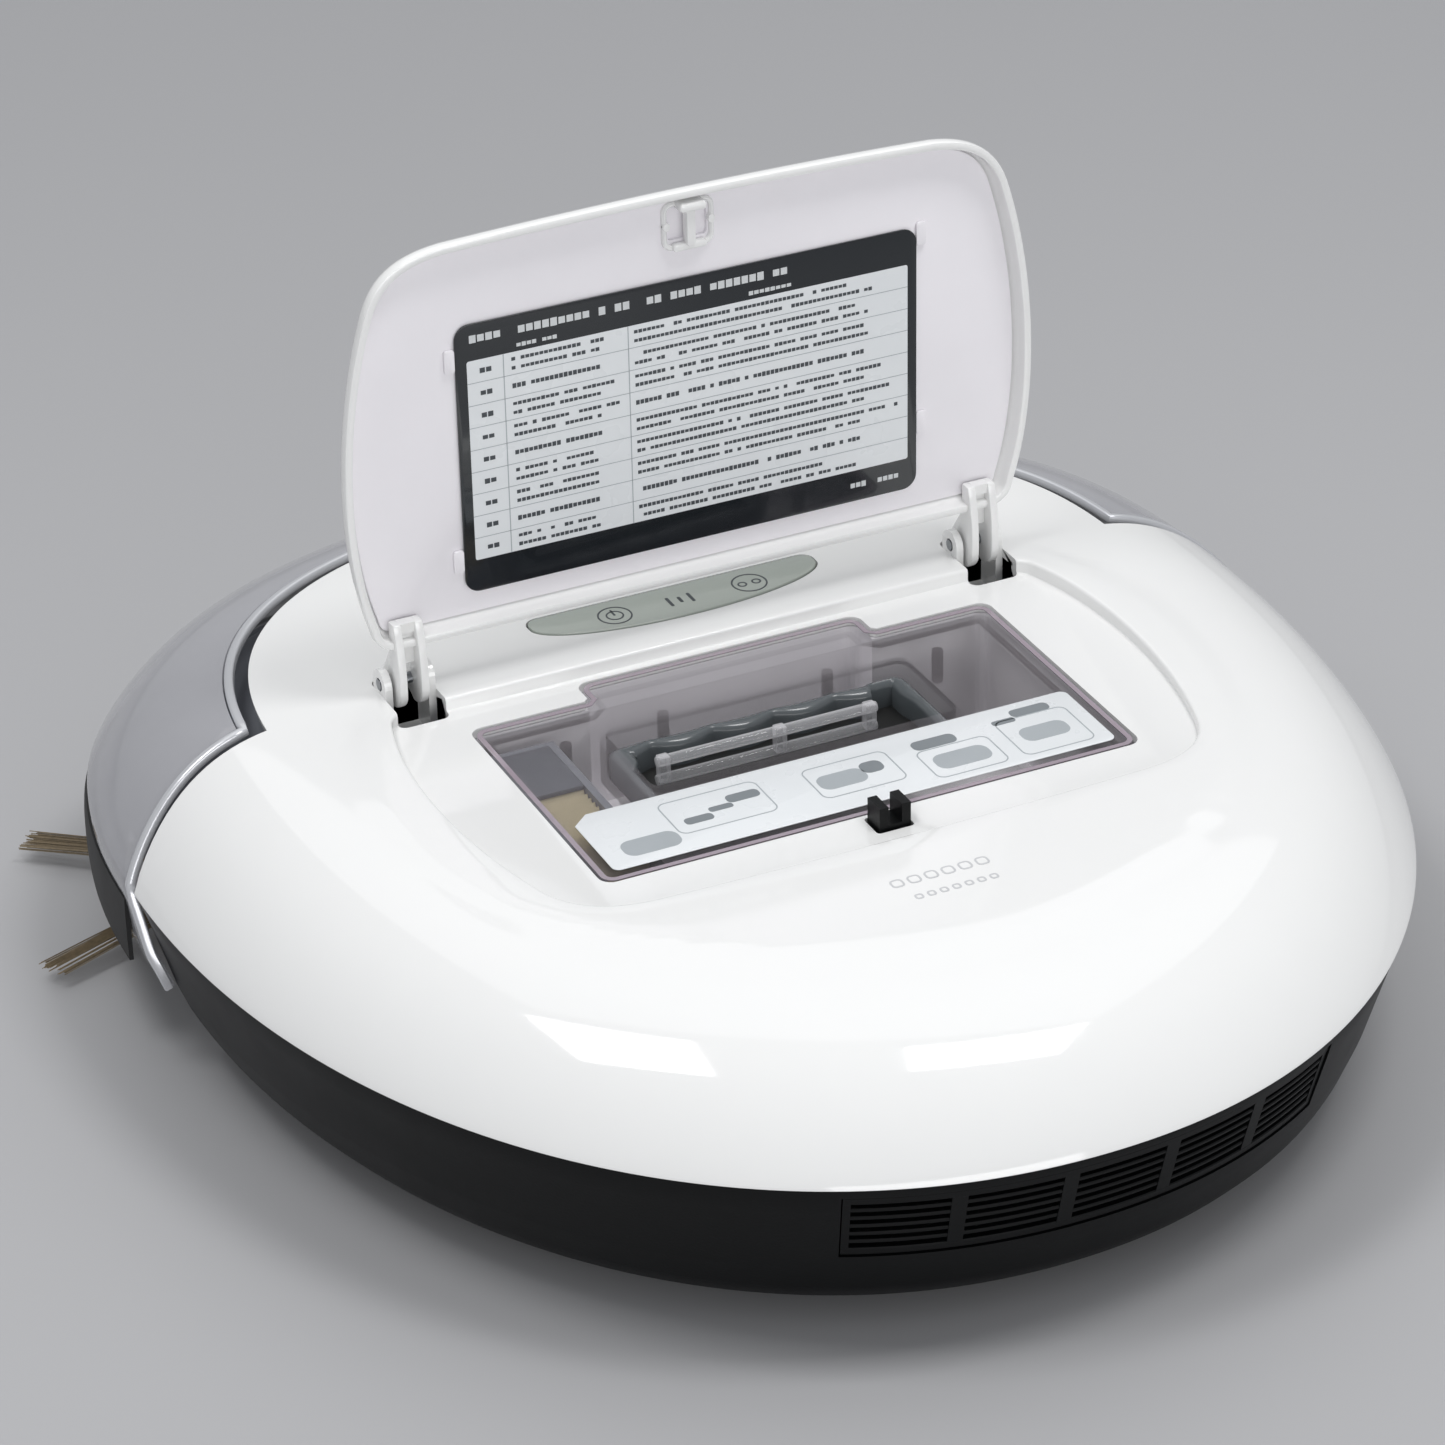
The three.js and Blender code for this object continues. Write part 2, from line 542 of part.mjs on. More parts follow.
// Hinge arms: two ribs and a web each, in the open position, turned with the lid.
const armOutline = () => {
  const shape = new THREE.Shape();
  shape.moveTo(57.4, 100);
  shape.lineTo(53.8, 100);
  shape.quadraticCurveTo(50.6, 90, 51.4, 80);
  shape.quadraticCurveTo(53, 75.8, HINGE_Y, 75.8);
  shape.absarc(HINGE_Y, HINGE_Z, 5, -Math.PI / 2, 0.4, false);
  shape.lineTo(57.4, 92);
  return shape;
};
const lidArm = () => {
  const ribs = sidePlate(armOutline(), HINGE_X - ARM_WIDTH / 2, HINGE_X + ARM_WIDTH / 2, 5);
  return cut(ribs,
    box(HINGE_X - ARM_WIDTH / 2 + 2.2, HINGE_X + ARM_WIDTH / 2 - 2.2, 40, 55.4, 60, 97),
    box(HINGE_X - ARM_WIDTH / 2 + 2.2, HINGE_X + ARM_WIDTH / 2 - 2.2, 40, 80, 60, 88),
    rod('x', HINGE_PIN_R + 0.25, HINGE_X - 10, HINGE_X + 10, HINGE_Y, HINGE_Z, 16));
};
addPair('lid_arm', lidArm(), WHITE);
const bracketEar = () => {
  const shape = new THREE.Shape();
  shape.moveTo(HINGE_Y + 4, 66);
  shape.lineTo(HINGE_Y + 4, HINGE_Z);
  shape.absarc(HINGE_Y, HINGE_Z, 4, 0, Math.PI, false);
  shape.lineTo(HINGE_Y - 4, 66);
  return shape;
};
const hingeBracket = () => cut(
  joined(
    sidePlate(bracketEar(), HINGE_X - 6.8, HINGE_X - 4.8, 6),
    sidePlate(bracketEar(), HINGE_X + 4.8, HINGE_X + 6.8, 6),
    box(HINGE_X - 6.8, HINGE_X + 6.8, HINGE_Y - 4, HINGE_Y + 4, 64, 67),
  ),
  rod('x', HINGE_PIN_R + 0.25, HINGE_X - 10, HINGE_X + 10, HINGE_Y, HINGE_Z, 16),
);
addPair('hinge_bracket', hingeBracket(), WHITE);
addPair('hinge_pin', rod('x', HINGE_PIN_R, HINGE_X - 7, HINGE_X + 7, HINGE_Y, HINGE_Z, 16), STEEL);

// ---------- running gear ----------
const ringOfRevolution = (profile, segments, place) => {
  const points = profile.map(([radius, height]) => new THREE.Vector2(radius, height));
  const geometry = new THREE.LatheGeometry([...points, points[0]], segments);
  return solidOf(geometry.rotateZ(Math.PI / 2).translate(...place));
};
const tyre = () => {
  const half = WHEEL_WIDTH / 2;
  return ringOfRevolution([[WHEEL_R - 6, -half], [WHEEL_R - 2, -half], [WHEEL_R, -half + 2.5],
    [WHEEL_R, half - 2.5], [WHEEL_R - 2, half], [WHEEL_R - 6, half]], 40, [WHEEL_X, WHEEL_Y, WHEEL_R]);
};
const wheelHub = () => {
  const half = WHEEL_WIDTH / 2 - 1;
  const disc = rod('x', WHEEL_R - 6 - GAP, WHEEL_X - half, WHEEL_X + half, WHEEL_Y, WHEEL_R, 40);
  const axle = rod('x', 3, WHEEL_X - half - 10, WHEEL_X, WHEEL_Y, WHEEL_R, 16);
  let hub = cut(disc, rod('x', 24, WHEEL_X + half - 4, WHEEL_X + half + 1, WHEEL_Y, WHEEL_R, 32));
  hub = joined(hub, axle, rod('x', 7, WHEEL_X, WHEEL_X + half, WHEEL_Y, WHEEL_R, 20));
  for (let i = 0; i < 5; i += 1) {
    const angle = (2 * Math.PI * i) / 5;
    const y = WHEEL_Y + 16 * Math.cos(angle);
    const z = WHEEL_R + 16 * Math.sin(angle);
    hub = cut(hub, rod('x', 5, WHEEL_X - half - 1, WHEEL_X + half + 1, y, z, 14));
  }
  return hub;
};
const wheelArm = () => {
  const shape = new THREE.Shape();
  shape.absarc(WHEEL_Y, WHEEL_R, 17, Math.PI / 2 + 0.2, -Math.PI / 2 + 0.2, false);
  shape.absarc(ARM_PIVOT_Y, ARM_PIVOT_Z, 9, -Math.PI / 2 + 0.2, Math.PI / 2 - 0.1, false);
  return cut(sidePlate(shape, ...ARM_X, 10),
    rod('x', 3 + 0.25, 60, 130, WHEEL_Y, WHEEL_R, 16),
    rod('x', 2.5 + 0.25, 60, 130, ARM_PIVOT_Y, ARM_PIVOT_Z, 16));
};
const suspensionSpring = () => {
  class Coil extends THREE.Curve {
    getPoint(t, target = new THREE.Vector3()) {
      const angle = t * Math.PI * 2 * 2.5;
      return target.set(87 - 8 * t, ARM_PIVOT_Y + 5 * Math.cos(angle), ARM_PIVOT_Z + 5 * Math.sin(angle));
    }
  }
  const section = new THREE.Shape();
  section.absarc(0, 0, 0.7, 0, Math.PI * 2, false);
  return solidOf(new THREE.ExtrudeGeometry(section, {
    extrudePath: new Coil(), steps: 30, curveSegments: 3, bevelEnabled: false,
  }));
};
addPair('tyre', tyre(), RUBBER);
addPair('wheel_hub', wheelHub(), GREY);
addPair('wheel_arm', wheelArm(), GREY);
addPair('arm_pivot_pin', rod('x', 2.5, 78, 108, ARM_PIVOT_Y, ARM_PIVOT_Z, 16), STEEL);
addPair('suspension_spring', suspensionSpring(), STEEL);

// Caster: a fork that swivels, its wheel and axle.
const CASTER_WHEEL_Y = CASTER_Y - CASTER_TRAIL;
const casterFork = () => cut(
  joined(
    rod('z', 13, 26, 29, 0, CASTER_Y, 28),
    rod('z', 5, 28, 42, 0, CASTER_Y, 20),
    box(-9.5, -7.2, CASTER_WHEEL_Y - 4, CASTER_Y + 6, 8, 28),
    box(7.2, 9.5, CASTER_WHEEL_Y - 4, CASTER_Y + 6, 8, 28),
  ),
  rod('x', 1.75, -20, 20, CASTER_WHEEL_Y, CASTER_R, 12),
);
const casterWheel = () => cut(
  rod('x', CASTER_R, -6.5, 6.5, CASTER_WHEEL_Y, CASTER_R, 28),
  rod('x', 1.75, -20, 20, CASTER_WHEEL_Y, CASTER_R, 12),
);
const casterSocket = () => cut(
  joined(rod('z', 23.5, BASE_BOTTOM_Z + SHELL_WALL + GAP, 44, 0, CASTER_Y, 32)),
  rod('z', 21.3, 0, 30, 0, CASTER_Y, 32),
  rod('z', 5.3, 0, 100, 0, CASTER_Y, 20),
);
add('caster_fork', casterFork(), GREY);
add('caster_wheel', casterWheel(), RUBBER);
add('caster_axle', rod('x', 1.5, -9.3, 9.3, CASTER_WHEEL_Y, CASTER_R, 12), STEEL);
add('caster_socket', casterSocket(), BLACK);

// Main brush: a core with four spiral blades, in two end bearings behind a guard.
const mainBrush = () => {
  const blades = 4;
  const around = 16;
  const slices = 10;
  const rings = [];
  for (let k = 0; k <= slices; k += 1) {
    const points = [];
    for (let i = 0; i < around; i += 1) {
      const angle = (2 * Math.PI * i) / around + 0.9 * (k / slices);
      const radius = i % (around / blades) === 0 ? BRUSH_R : 9.5;
      points.push([radius * Math.cos(angle), radius * Math.sin(angle)]);
    }
    rings.push({ points, z: -BRUSH_HALF_LENGTH + 2 * BRUSH_HALF_LENGTH * (k / slices) });
  }
  const bladed = loft(rings).rotate([0, 90, 0]).translate([0, BRUSH_Y, BRUSH_Z]);
  return joined(bladed, rod('x', 3, -BRUSH_HALF_LENGTH - 5, BRUSH_HALF_LENGTH + 5, BRUSH_Y, BRUSH_Z, 16));
};
const brushBearing = () => cut(
  rod('x', 9, BRUSH_HALF_LENGTH + 1.5, 87.5, BRUSH_Y, BRUSH_Z, 24),
  rod('x', 3.25, 0, 120, BRUSH_Y, BRUSH_Z, 16),
);
const brushHousing = () => cut(
  box(-91, 91, BRUSH_Y - 24, BRUSH_Y + 24.5, 12, 45),
  rod('x', BRUSH_R + 1.6, -87.9, 87.9, BRUSH_Y, BRUSH_Z, 32),
  box(-87.9, 87.9, BRUSH_Y - BRUSH_R - 1.6, BRUSH_Y + BRUSH_R + 1.6, 0, BRUSH_Z),
  box(-30, 30, BRUSH_Y, BRUSH_Y + 40, 36, 60),
);
const brushGuard = () => {
  let guard = cut(box(-87.5, 87.5, BRUSH_Y - 23.5, BRUSH_Y + 23.5, 8, 10.6),
    box(-81, 81, BRUSH_Y - 17.5, BRUSH_Y + 17.5, 0, 20));
  for (let i = -2; i <= 2; i += 1) {
    guard = joined(guard, box(i * 30 - 1, i * 30 + 1, BRUSH_Y - 20, BRUSH_Y - 10.5, 8, 10.6));
  }
  return cut(guard, rod('x', BRUSH_R + 1, -82, 82, BRUSH_Y, BRUSH_Z, 32));
};
add('main_brush', mainBrush(), BLUE);
addPair('brush_bearing', brushBearing(), GREY);
add('brush_housing', brushHousing(), BLACK);
add('brush_guard', brushGuard(), GREY);

// Side brushes: a hub with bundles of bristles that sweep past the corners.
const sideBrush = () => {
  let brush = joined(rod('z', 11, 5.5, 8.6, 0, 0, 24), rod('z', 3, 8, 24, 0, 0, 12));
  for (let i = 0; i < SIDE_BRUSH_ARMS; i += 1) {
    const angle = (2 * Math.PI * (i + 0.217)) / SIDE_BRUSH_ARMS;
    const bundle = loft([
      { points: [[-1.6, -1.4], [1.6, -1.4], [1.6, 1.4], [-1.6, 1.4]], z: 6 },
      { points: [[-3.6, -1.6], [3.6, -1.6], [3.6, 0.2], [-3.6, 0.2]].map(([x, y]) => [x, y - 2.4]),
        z: SIDE_BRUSH_REACH },
    ]);
    const turned = bundle.rotate([90, 0, 0]).rotate([0, 0, THREE.MathUtils.radToDeg(angle)]);
    brush = joined(brush, turned.translate([0, 0, 6.8]));
  }
  return brush.translate([SIDE_BRUSH_X, SIDE_BRUSH_Y, 0]);
};
const sideBrushMotor = () => cut(
  joined(rod('z', 13, BASE_BOTTOM_Z + SHELL_WALL + GAP, 40, SIDE_BRUSH_X - 2, SIDE_BRUSH_Y - 2, 24)),
  rod('z', 3.25, 0, 26, SIDE_BRUSH_X, SIDE_BRUSH_Y, 12),
  rod('z', 11.6, 0, 14, SIDE_BRUSH_X, SIDE_BRUSH_Y, 24),
);
addPair('side_brush', sideBrush(), BRISTLE);
addPair('side_brush_motor', sideBrushMotor(), GREY);

// ---------- fan, power and electronics ----------
const fanHousing = () => cut(
  joined(
    rod('z', FAN_R + 2, 24, 54, FAN_X, FAN_Y, 32),
    box(FAN_X - 2, FAN_X + 16, FAN_Y - 36, FAN_Y, 27, 45),
  ).intersect(prism(bodyRing(13), 0, 60)),
  rod('z', FAN_R, 26, 52, FAN_X, FAN_Y, 32),
  box(FAN_X, FAN_X + 14, FAN_Y - 60, FAN_Y, 29, 43),
  rod('z', 9, 40, 80, FAN_X, FAN_Y, 20),
  rod('z', 2.4, 20, 30, FAN_X, FAN_Y, 12),
);
const impeller = () => {
  let wheel = joined(rod('z', FAN_R - 1.5, 29, 31, FAN_X, FAN_Y, 32), rod('z', 6, 29, 44, FAN_X, FAN_Y, 16));
  for (let i = 0; i < 7; i += 1) {
    const blade = box(5, FAN_R - 2, -0.8, 0.8, 30.5, 42).rotate([0, 0, (360 * i) / 7]);
    wheel = joined(wheel, blade.translate([FAN_X, FAN_Y, 0]));
  }
  return cut(wheel, rod('z', 2.25, 0, 100, FAN_X, FAN_Y, 12));
};
add('fan_housing', fanHousing(), BLACK);
add('impeller', impeller(), GREY);
add('fan_motor', joined(rod('z', 11, 13, 23.7, FAN_X, FAN_Y, 24), rod('z', 2, 20, 46, FAN_X, FAN_Y, 12)), STEEL);
const rockerShape = () => {
  const shape = new THREE.Shape();
  shape.moveTo(13.2, 12.6);
  shape.lineTo(13.2, 9);
  shape.quadraticCurveTo(17, 10.2, 20.8, 7.9);
  shape.lineTo(20.8, 12.6);
  return shape;
};
add('battery', box(-64, 64, 53, 95, 13, 41), BLUE);
add('battery_cover', box(-67.5, 67.5, 50.5, 97.5, 9.2, 11.8), BLACK);
add('circuit_board', cut(box(-62, 62, 52, 112, 60, 61.6), rod('z', 12, 50, 70, 0, 106, 20)), BOARD);
addPair('charge_contact', box(CONTACT.x0, CONTACT.x1, CONTACT.y0, CONTACT.y1, 8.2, 11.8), SILVER);
add('power_switch', sidePlate(rockerShape(), 37, 51), RUBBER);

// The origin is the middle of the footprint, on the floor.
const noseY = WIDEST_Y + FRONT_LENGTH + STRIP_PROUD + STRIP_REACH;
const tailY = WIDEST_Y - REAR_LENGTH;
robot.position.y = -(noseY + tailY) / 2;

export default robot;
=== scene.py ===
"""Robot vacuum cleaner with its dust-bin lid open: the finished look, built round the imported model.

Lengths are metres, +Z is up and the bumper faces +Y. Outlines are written in millimetres from the
middle of the dust bin and brought into the frame by mm().
"""
import json
import math

import bmesh
import bpy
from bpy.props import FloatProperty, FloatVectorProperty, IntProperty, PointerProperty
from bpy.types import Operator, Panel, PropertyGroup
from mathutils import Matrix, Vector


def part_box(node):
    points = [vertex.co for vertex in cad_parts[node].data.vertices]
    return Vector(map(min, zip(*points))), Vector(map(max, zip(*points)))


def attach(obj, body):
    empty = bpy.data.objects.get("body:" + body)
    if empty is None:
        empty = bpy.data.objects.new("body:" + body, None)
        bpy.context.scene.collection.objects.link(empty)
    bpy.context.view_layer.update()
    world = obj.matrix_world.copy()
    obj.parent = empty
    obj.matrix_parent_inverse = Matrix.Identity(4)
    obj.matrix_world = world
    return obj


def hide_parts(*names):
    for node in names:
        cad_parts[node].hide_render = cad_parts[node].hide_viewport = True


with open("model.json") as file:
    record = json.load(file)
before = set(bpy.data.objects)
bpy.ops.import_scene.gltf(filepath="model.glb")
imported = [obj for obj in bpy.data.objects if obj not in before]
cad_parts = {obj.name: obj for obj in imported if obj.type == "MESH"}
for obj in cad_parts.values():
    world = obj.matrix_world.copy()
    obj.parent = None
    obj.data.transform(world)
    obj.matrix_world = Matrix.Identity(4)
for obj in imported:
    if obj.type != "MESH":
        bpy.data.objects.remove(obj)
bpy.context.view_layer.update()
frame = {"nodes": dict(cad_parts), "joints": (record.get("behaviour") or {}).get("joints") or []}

bl_info = {
    "name": "Robot Vacuum Builder",
    "version": (1, 0, 0),
    "blender": (4, 5, 0),
    "location": "3D View > Sidebar > Robot Vacuum",
    "description": "Builds the finished surfaces of a robot vacuum cleaner round its working model",
    "category": "Object",
}

MM = 0.001
BIN_Y = -0.0116          # the middle of the dust bin, in the frame
LEFT, RIGHT = -1, 1


# ---------------------------------------------------------------- sizes and colours

def length(name, description, millimetres):
    return FloatProperty(name=name, description=description, default=millimetres * MM, unit="LENGTH")


def number(name, description, value):
    return FloatProperty(name=name, description=description, default=value)


def linear(hex_colour):
    """An sRGB hex colour as linear red, green, blue and alpha."""
    channels = [int(hex_colour[i:i + 2], 16) / 255 for i in (1, 3, 5)]
    return tuple(c / 12.92 if c <= 0.04045 else ((c + 0.055) / 1.055) ** 2.4 for c in channels) + (1.0,)


def colour(name, description, hex_colour):
    return FloatVectorProperty(name=name, description=description, default=linear(hex_colour),
                               size=4, subtype="COLOR", min=0.0, max=1.0)


class BodySizes(PropertyGroup):
    half_width: length("Half width", "Centre line to the widest point of the cover", 160)
    widest_y: length("Widest place", "Where along the body it is widest", 28.4)
    rear_length: length("Rear length", "Widest place to the tail", 201)
    front_length: length("Front length", "Widest place to the nose of the bumper", 137)
    rear_power: number("Rear roundness", "2 is an ellipse, more is squarer", 2.08)
    front_power: number("Front squareness", "2 is an ellipse, more is squarer", 2.6)
    seam_z: length("Seam height", "Where the white cover meets the black base", 49)
    base_z: length("Ground clearance", "Floor to the underside of the base", 9)
    dome_rise: length("Dome rise", "Seam to the flat top, at mid length", 29.67)
    dome_tilt: number("Dome tilt", "How much the top rises towards the front", 0.015)
    dome_run: length("Dome run", "Seam to the flat top, measured inwards", 61.6)
    dome_power: number("Dome power", "How soon the dome flattens", 3.2)
    dome_sharpness: number("Dome sharpness", "How steeply the dome starts", 0.9)
    wall: length("Cover wall", "Thickness of the moulded cover", 2.5)
    plateau_radius: length("Plateau radius", "Soft raised edge round the lid recess", 108.5)
    plateau_rise: length("Plateau rise", "Height of that soft edge", 0.8)
    steps: IntProperty(name="Steps", description="Points along the cover's rear edge", default=150, min=40)


class BumperSizes(PropertyGroup):
    band: length("Band", "How far the bumper reaches in over the top", 41)
    gap: length("Gap", "Room behind the bumper for its travel", 3.6)
    wall: length("Wall", "Thickness of the clear moulding", 2.5)
    edge_y: length("Edge", "Rear edge of the bumper at the seam", 32.4)
    edge_lean: number("Edge lean", "How far the edge leans forward with height", 0.4)
    bottom_z: length("Bottom", "Lowest edge of the bumper", 22)
    trim: length("Trim width", "Bright strip along the edge", 2.4)
    setback: length("Setback", "Bumper skin to the body behind it", 8.5)
    strip_reach: length("Strip reach", "How far the rubber strip stands out at the nose", 7)
    strip_low: length("Strip low edge", "Lower edge of the rubber strip", 25)
    strip_high: length("Strip high edge", "Upper edge of the rubber strip", 43)


class LidSizes(PropertyGroup):
    recess_z: length("Recess floor", "Floor of the recess that the lid closes", 76)
    fit: length("Shut line", "Gap round the closed lid", 0.8)
    rim_z: length("Rim", "Lower edge of the closed lid's rim", 77.2)
    panel_z: length("Inner panel", "Inner face of the closed lid", 81.5)
    crown_z: length("Crown", "Highest point of the closed lid", 87)
    wall: length("Wall", "Thickness of the rim", 2.2)
    hinge_x: length("Hinge place", "Centre line to a hinge", 80.5)


class BrushSizes(PropertyGroup):
    reach: length("Reach", "Hub centre to the bristle tips", 66)
    hub_radius: length("Hub radius", "Radius of the bristle hub", 11)
    arms: IntProperty(name="Bundles", description="Bristle bundles on each side brush", default=6, min=3)
    bristles: IntProperty(name="Bristles", description="Bristles in each bundle", default=46, min=6)
    bristle: length("Bristle", "Thickness of one bristle, drawn as thick as it must be to show", 0.42)


class Colours(PropertyGroup):
    cover: colour("Cover", "Glossy white ABS", "#F1F1F0")
    inner: colour("Lid lining", "Satin white ABS", "#F7F4F8")
    base: colour("Base", "Satin black ABS", "#0D0E0F")
    inner_grey: colour("Inner grey", "Satin grey ABS", "#6D7077")
    smoke: colour("Bumper", "Smoke-grey clear polycarbonate", "#BDBDC2")
    lilac: colour("Bin", "Lilac-grey clear polycarbonate", "#F2E9F0")
    trim: colour("Trim", "Satin plated trim", "#D6D7DB")
    rubber: colour("Rubber", "Black moulded rubber", "#1C1C1C")
    gasket: colour("Gasket", "Dark grey silicone", "#5A5F62")
    film: colour("Touch film", "Grey-green touch film", "#A9B0A8")
    ink: colour("Ink", "Dark printing", "#474C51")
    paper: colour("Paper", "Pale printed ground", "#E9ECEE")
    bristle: colour("Bristles", "Tan nylon", "#A08F74")
    filter: colour("Filter", "Pleated filter paper", "#C2B799")
    floor: colour("Floor", "Pale studio floor", "#B4B4B6")


class StageSizes(PropertyGroup):
    azimuth: FloatProperty(name="Azimuth", description="Camera direction round the object",
                           default=math.radians(-25.02), subtype="ANGLE")
    elevation: FloatProperty(name="Elevation", description="Camera height above the horizon",
                             default=math.radians(29.94), subtype="ANGLE")
    roll: FloatProperty(name="Roll", description="Tilt of the camera", default=math.radians(-1.2),
                        subtype="ANGLE")
    distance: length("Distance", "Camera to the object", 1251)
    lens: number("Lens", "Focal length on a 36 mm sensor", 124.54)
    floor_half: length("Floor", "Half the side of the floor", 4000)


GROUPS = (BodySizes, BumperSizes, LidSizes, BrushSizes, Colours, StageSizes)


def of(kind):
    return getattr(bpy.context.scene, "vacuum_" + kind)


# ---------------------------------------------------------------- shape formulas

def mm(x, y, z=0.0):
    """A point given in millimetres from the middle of the dust bin, on the floor."""
    return Vector((x * MM, y * MM + BIN_Y, z * MM))


def outline(turn, inset=0.0, front_inset=0.0):
    """A point of the body's plan outline, moved in by inset; front_inset moves the front further in."""
    body = of("body")
    front = math.sin(turn) > 0
    share = 2 / (body.front_power if front else body.rear_power)
    across = body.half_width - inset - front_inset
    along = (body.front_length - front_inset if front else body.rear_length) - inset
    cos, sin = math.cos(turn), math.sin(turn)
    return (across * math.copysign(abs(cos) ** share, cos),
            body.widest_y + along * math.copysign(abs(sin) ** share, sin))


def turn_at(y, inset=0.0, front_inset=0.0):
    """The turn, in the right front quarter, at which the outline reaches y."""
    body = of("body")
    along = body.front_length - front_inset - inset
    return math.asin(min(1.0, max(0.0, (y - body.widest_y) / along)) ** (body.front_power / 2))


def dome_height(inset, y):
    """Height of the cover over the floor, inset from the seam."""
    body = of("body")
    share = min(max(inset, 0.0) / body.dome_run, 1.0)
    rise = (1 - (1 - share) ** body.dome_power) ** body.dome_sharpness
    return body.seam_z + (body.dome_rise + body.dome_tilt * y) * rise


def inset_at(x, y):
    """How far inside the seam a plan point lies, found by halving."""
    body = of("body")
    front = y > body.widest_y
    power = body.front_power if front else body.rear_power
    along = body.front_length if front else body.rear_length
    low, high = 0.0, min(body.half_width, along) - MM
    for _ in range(30):
        inset = (low + high) / 2
        value = ((abs(x) / (body.half_width - inset)) ** power
                 + (abs(y - body.widest_y) / (along - inset)) ** power)
        if value > 1:
            high = inset
        else:
            low = inset
    return low


def ease(value, start, end):
    """0 before start, 1 after end, smooth between."""
    share = min(1.0, max(0.0, (value - start) / (end - start)))
    return share * share * (3 - 2 * share)


def cover_height(x, y):
    """The cover's surface, with the soft raised edge round the lid recess."""
    body = of("body")
    radius = math.hypot(x, y - BIN_Y)
    plateau = 1 - ease(radius, body.plateau_radius - 2 * MM, body.plateau_radius + 2 * MM)
    fade = 1 - ease(y, 20 * MM, 50 * MM)
    return dome_height(inset_at(x, y), y) + body.plateau_rise * plateau * fade


def edge_y(z):
    """The slanted plane that the bumper's rear edge lies in."""
    bumper = of("bumper")
    return bumper.edge_y + bumper.edge_lean * (z - of("body").seam_z)


def between(start, end, count):
    return [start + (end - start) * i / (count - 1) for i in range(count)]


def curve(points, count=14):
    """Points along a Bezier curve of any degree, without its last point."""
    found = []
    for step in range(count):
        share, row = step / count, [Vector(p) for p in points]
        while len(row) > 1:
            row = [a.lerp(b, share) for a, b in zip(row, row[1:])]
        found.append(row[0])
    return found


def lid_outline():
    """The closed lid's outline, anticlockwise from its right front corner."""
    half = (
        curve([(0, 47.5), (-82, 47.5)], 16) + curve([(-82, 47.5), (-89, 47.5), (-90, 41)], 8)
        + curve([(-90, 41), (-97.5, 18), (-96, -16), (-88, -42)], 24)
        + curve([(-88, -42), (-85, -53), (-78, -57.5), (-66, -58.5)], 14)
        + curve([(-66, -58.5), (-33, -59.75), (0, -59.75)], 12)
    )
    mirrored = [Vector((-p.x, p.y)) for p in reversed(half[1:])]
    return [mm(p.x, p.y) for p in half + [Vector((0, -59.75))] + mirrored]


def rounded(x0, x1, y0, y1, radius, steps=6):
    """A rectangle with round corners, anticlockwise, in millimetres from the middle of the bin."""
    corners = ((x1 - radius, y1 - radius), (x0 + radius, y1 - radius),
               (x0 + radius, y0 + radius), (x1 - radius, y0 + radius))
    points = []
    for quarter, (x, y) in enumerate(corners):
        for step in range(steps + 1):
            angle = (quarter + step / steps) * math.pi / 2
            points.append(mm(x + radius * math.cos(angle), y + radius * math.sin(angle)))
    return points


def circle(x, y, radius, steps=32):
    return [mm(x + radius * math.cos(2 * math.pi * i / steps), y + radius * math.sin(2 * math.pi * i / steps))
            for i in range(steps)]


def moved_in(points, distance):
    """A flat outline moved inwards along its normals; a negative distance moves it out."""
    found = []
    for i, point in enumerate(points):
        along = points[(i + 1) % len(points)] - points[i - 1]
        along.normalize()
        found.append(Vector((point.x - distance * along.y, point.y + distance * along.x, point.z)))
    return found


def at_height(points, z):
    return [Vector((p.x, p.y, z)) for p in points]


def on_rays(target, points, centre):
    """For each point, where the ray to it from the centre meets the outline target."""
    found = []
    for point in points:
        ray = Vector((point.x - centre.x, point.y - centre.y))
        for a, b in zip(target, target[1:] + target[:1]):
            side = Vector((b.x - a.x, b.y - a.y))
            start = Vector((a.x - centre.x, a.y - centre.y))
            cross = ray.x * side.y - ray.y * side.x
            if abs(cross) < 1e-15:
                continue
            far = (start.x * side.y - start.y * side.x) / cross
            share = (start.x * ray.y - start.y * ray.x) / cross
            if far > 0 and -1e-9 <= share <= 1 + 1e-9:
                found.append(Vector((centre.x + ray.x * far, centre.y + ray.y * far, 0)))
                break
    return found


# ---------------------------------------------------------------- modelling steps

def object_mode():
    if bpy.context.object and bpy.context.object.mode != "OBJECT":
        bpy.ops.object.mode_set(mode="OBJECT")


def select_only(*pieces):
    object_mode()
    bpy.ops.object.select_all(action="DESELECT")
    for piece in pieces:
        piece.select_set(True)
    bpy.context.view_layer.objects.active = pieces[0]


def place_ring(piece, ring, number_of_ring):
    """Moves the selected ring of points to its place."""
    shape = bmesh.from_edit_mesh(piece.data)
    order, rank = shape.verts.layers.int["order"], shape.verts.layers.int["rank"]
    for vert in shape.verts:
        if vert.select:
            vert.co = ring[vert[order]]
            vert[rank] = number_of_ring
    bmesh.update_edit_mesh(piece.data)


def select_rings(piece, *numbers):
    bpy.ops.mesh.select_all(action="DESELECT")
    shape = bmesh.from_edit_mesh(piece.data)
    rank = shape.verts.layers.int["rank"]
    for vert in shape.verts:
        vert.select = vert[rank] in numbers
    shape.select_flush(True)
    bmesh.update_edit_mesh(piece.data)


